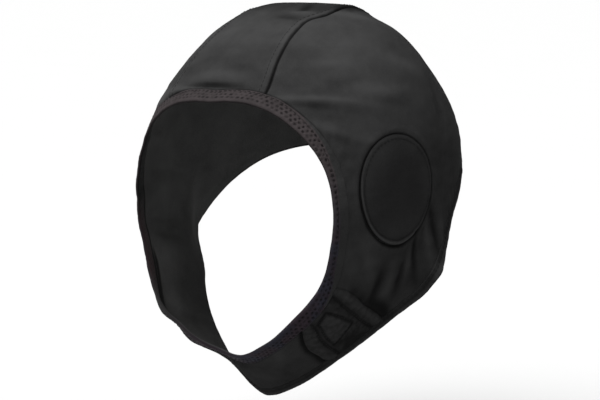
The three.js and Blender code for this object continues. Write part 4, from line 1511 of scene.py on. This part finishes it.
def thread_mesh(rows, sizes):
    """Stitches along traced rows: each is a short bent tube that dips into the cloth."""
    stitch, gap = sizes.stitch * MM, sizes.stitch_gap * MM
    radius = sizes.thread * MM / 2
    shares, dips, girths = np.array(STITCH).T
    sides = 6
    angle = np.arange(sides) * math.tau / sides
    first_tube = numbered((len(STITCH), sides))
    points, faces, weave = [], [], []
    for line, normals in rows:
        run = run_along(line[None], 1)[0]
        for number in range(int((run[-1] - gap) // (stitch + gap))):
            at = gap + number * (stitch + gap) + shares * stitch
            middle, up = found_at(at, run, line), normalised(found_at(at, run, normals))
            ahead = normalised(np.gradient(middle, axis=0))
            aside = normalised(np.cross(ahead, up))
            middle = middle + up * dips[:, None]
            ring = np.cos(angle)[:, None] * aside[:, None] + np.sin(angle)[:, None] * up[:, None]
            tube = middle[:, None] + ring * (girths * radius)[:, None, None]
            ids = first_tube + len(points) * first_tube.size
            faces += loop_faces(ids)[:, ::-1].tolist() + [ids[0][::-1].tolist(), ids[-1].tolist()]
            points.append(tube.reshape(-1, 3))
            along, turn = np.repeat(at, sides), np.tile(angle, len(STITCH)) / math.tau
            weave.append(np.stack([along, turn, 0 * along], -1))
    return np.concatenate(points), faces, np.concatenate(weave)


def build_threads(name, rows, sizes, colours):
    points, faces, weave = thread_mesh([traces[row] for row in rows], sizes)
    return add_mesh(name, points, faces, sewing_thread(name, colours.thread), weave)


def finish_piece(piece, nodes):
    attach(piece, "root")
    if nodes:
        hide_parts(*nodes)
    return piece


class HAIRCOVER_OT_crown(bpy.types.Operator):
    """Makes the cloth of the crown"""

    bl_idname = "hair_cover.crown"
    bl_label = "Crown"

    def execute(self, context):
        finish_piece(build_crown(*settings(context)), ["crown_panel"])
        return {"FINISHED"}


class HAIRCOVER_OT_sides(bpy.types.Operator):
    """Makes the cloth of the two sides, each with a hole for its ear patch"""

    bl_idname = "hair_cover.sides"
    bl_label = "Sides"

    def execute(self, context):
        for lines in (LEFT, RIGHT):
            piece = build_side(lines, *settings(context))
            finish_piece(piece, [f"side_panel_{lines.word}"])
        return {"FINISHED"}


class HAIRCOVER_OT_ear_patches(bpy.types.Operator):
    """Makes the two oval ear patches"""

    bl_idname = "hair_cover.ear_patches"
    bl_label = "Ear patches"

    def execute(self, context):
        for lines in (LEFT, RIGHT):
            piece = build_ear_patch(lines, *settings(context))
            finish_piece(piece, [f"ear_patch_{lines.word}"])
        return {"FINISHED"}


class HAIRCOVER_OT_strap(bpy.types.Operator):
    """Makes the chin strap"""

    bl_idname = "hair_cover.strap"
    bl_label = "Chin strap"

    def execute(self, context):
        finish_piece(build_strap(*settings(context)), ["chin_strap"])
        return {"FINISHED"}


class HAIRCOVER_OT_closure(bpy.types.Operator):
    """Makes the tab and the hook tape under it"""

    bl_idname = "hair_cover.closure"
    bl_label = "Closure"

    def execute(self, context):
        sizes, colours = settings(context)
        finish_piece(build_tab(sizes, colours), ["closure_tab"])
        finish_piece(build_hooks(colours), ["hook_patch"])
        return {"FINISHED"}


class HAIRCOVER_OT_bands(bpy.types.Operator):
    """Makes the mesh binding round the face and the turned hem round the neck"""

    bl_idname = "hair_cover.bands"
    bl_label = "Bands"

    def execute(self, context):
        sizes, colours = settings(context)
        cloth = stretch_cloth("hem_stretch_cloth", colours.hem, sizes, colours)
        materials = [mesh_binding("binding_mesh", colours), cloth]
        targets = [("face_binding", "binding_mesh"), ("neck_hem", "hem_cloth")]
        for band, material, (node, slot) in zip(BANDS, materials, targets):
            finish_piece(build_band(band, material, sizes), [node])
        return {"FINISHED"}


class HAIRCOVER_OT_threads(bpy.types.Operator):
    """Sews the topstitching of the seams, the ear patches, the tab and the bands"""

    bl_idname = "hair_cover.threads"
    bl_label = "Stitching"

    def execute(self, context):
        sizes, colours = settings(context)
        rows_of = {
            "crown_stitching": (["crown_seam_left", "crown_seam_right"], "stretch_cloth"),
            "ear_stitching": (["ear_left", "ear_right"], "ear_cloth"),
            "tab_stitching": (["tab_fold", "tab_box", "tab_end"], "stretch_cloth"),
            "jaw_stitching": (["jaw_right"], "stretch_cloth"),
            "binding_stitching": (["face_binding_mesh_0"], "binding_mesh"),
            "hem_stitching": (["neck_hem_cloth_0", "neck_hem_cloth_1"], "hem_cloth"),
        }
        for name, (rows, slot) in rows_of.items():
            if missing := [row for row in rows if row not in traces]:
                raise RuntimeError(f"{name} needs the rows {missing}: make their pieces first")
            finish_piece(build_threads(name, rows, sizes, colours), [])
        return {"FINISHED"}


class HAIRCOVER_OT_sheets(bpy.types.Operator):
    bl_idname = "hair_cover.sheets"
    bl_label = "Cloth sizes"

    def execute(self, context):
        return {"FINISHED"}


class HAIRCOVER_OT_stage(bpy.types.Operator):
    """Makes the floor, the light and the camera"""

    bl_idname = "hair_cover.stage"
    bl_label = "Stage"

    def execute(self, context):
        _, colours = settings(context)
        scene = context.scene
        link = scene.collection.objects.link
        radius, sides, below = 40 * MM, 96, 70
        angle = np.arange(sides) * math.tau / sides
        height = np.full(sides, cad_box[0].z * MM - below)
        points = np.stack([radius * np.cos(angle), radius * np.sin(angle), height], -1)
        concrete = pale_floor("pale_floor", colours.floor)
        add_mesh("floor", points, [list(range(sides))], concrete)

        world = bpy.data.worlds.new("soft_surround")
        world.use_nodes = True
        background = world.node_tree.nodes["Background"]
        background.inputs["Color"].default_value = (1, 1, 1, 1)
        background.inputs["Strength"].default_value = 0.27
        scene.world = world

        lamp = bpy.data.lights.new("overhead_light", "SUN")
        lamp.energy = 8.8
        lamp.angle = math.radians(55)
        light = bpy.data.objects.new("overhead_light", lamp)
        light.rotation_euler = Vector((-0.15, -0.5, 1)).to_track_quat("Z", "Y").to_euler()
        link(light)

        # The camera looks from the wearer's front left and a little above. The ear line stands
        # a few pixels left of the middle of the picture and above it.
        turn, tilt = math.radians(35), math.radians(8)
        distance, pixel, sensor, picture_width = 1100, 0.62, 36, 600
        right = Vector((math.cos(turn), math.sin(turn), 0))
        level = math.cos(tilt)
        away = Vector((-math.sin(turn) * level, math.cos(turn) * level, -math.sin(tilt)))
        ear_line, aside, lower = Vector((0, -25, -105)), 14 * pixel, 24 * pixel
        target = ear_line + right * aside - right.cross(away) * lower
        camera_data = bpy.data.cameras.new("camera")
        camera_data.sensor_width = sensor
        camera_data.lens = distance / pixel * sensor / picture_width
        camera_data.clip_start = 0.05
        camera_data.clip_end = 200
        camera = bpy.data.objects.new("camera", camera_data)
        camera.location = (target - away * distance) / MM
        camera.rotation_euler = away.to_track_quat("-Z", "Y").to_euler()
        link(camera)
        scene.camera = camera
        scene.view_settings.view_transform = "Standard"
        return {"FINISHED"}


class HAIRCOVER_PT_pieces(bpy.types.Panel):
    """The pieces of the hair cover"""

    bl_idname = "HAIRCOVER_PT_pieces"
    bl_label = "Hair cover"
    bl_space_type = "VIEW_3D"
    bl_region_type = "UI"
    bl_category = "Hair cover"

    def draw(self, context):
        for group in settings(context):
            box = self.layout.box()
            for name in group.__annotations__:
                box.prop(group, name)
        for operator in OPERATORS:
            self.layout.operator(operator.bl_idname)


OPERATORS = [
    HAIRCOVER_OT_stage,
    HAIRCOVER_OT_crown,
    HAIRCOVER_OT_sides,
    HAIRCOVER_OT_ear_patches,
    HAIRCOVER_OT_strap,
    HAIRCOVER_OT_closure,
    HAIRCOVER_OT_bands,
    HAIRCOVER_OT_threads,
    HAIRCOVER_OT_sheets,
]
CLASSES = [HairCoverSizes, HairCoverColours, *OPERATORS, HAIRCOVER_PT_pieces]


def register():
    for entry in CLASSES:
        bpy.utils.register_class(entry)
    bpy.types.Scene.hair_cover_sizes = bpy.props.PointerProperty(type=HairCoverSizes)
    bpy.types.Scene.hair_cover_colours = bpy.props.PointerProperty(type=HairCoverColours)


def unregister():
    del bpy.types.Scene.hair_cover_colours
    del bpy.types.Scene.hair_cover_sizes
    for entry in reversed(CLASSES):
        bpy.utils.unregister_class(entry)


def main():
    register()
    for operator in OPERATORS:
        group, name = operator.bl_idname.split(".")
        getattr(getattr(bpy.ops, group), name)()


if __name__ == "__main__":
    main()
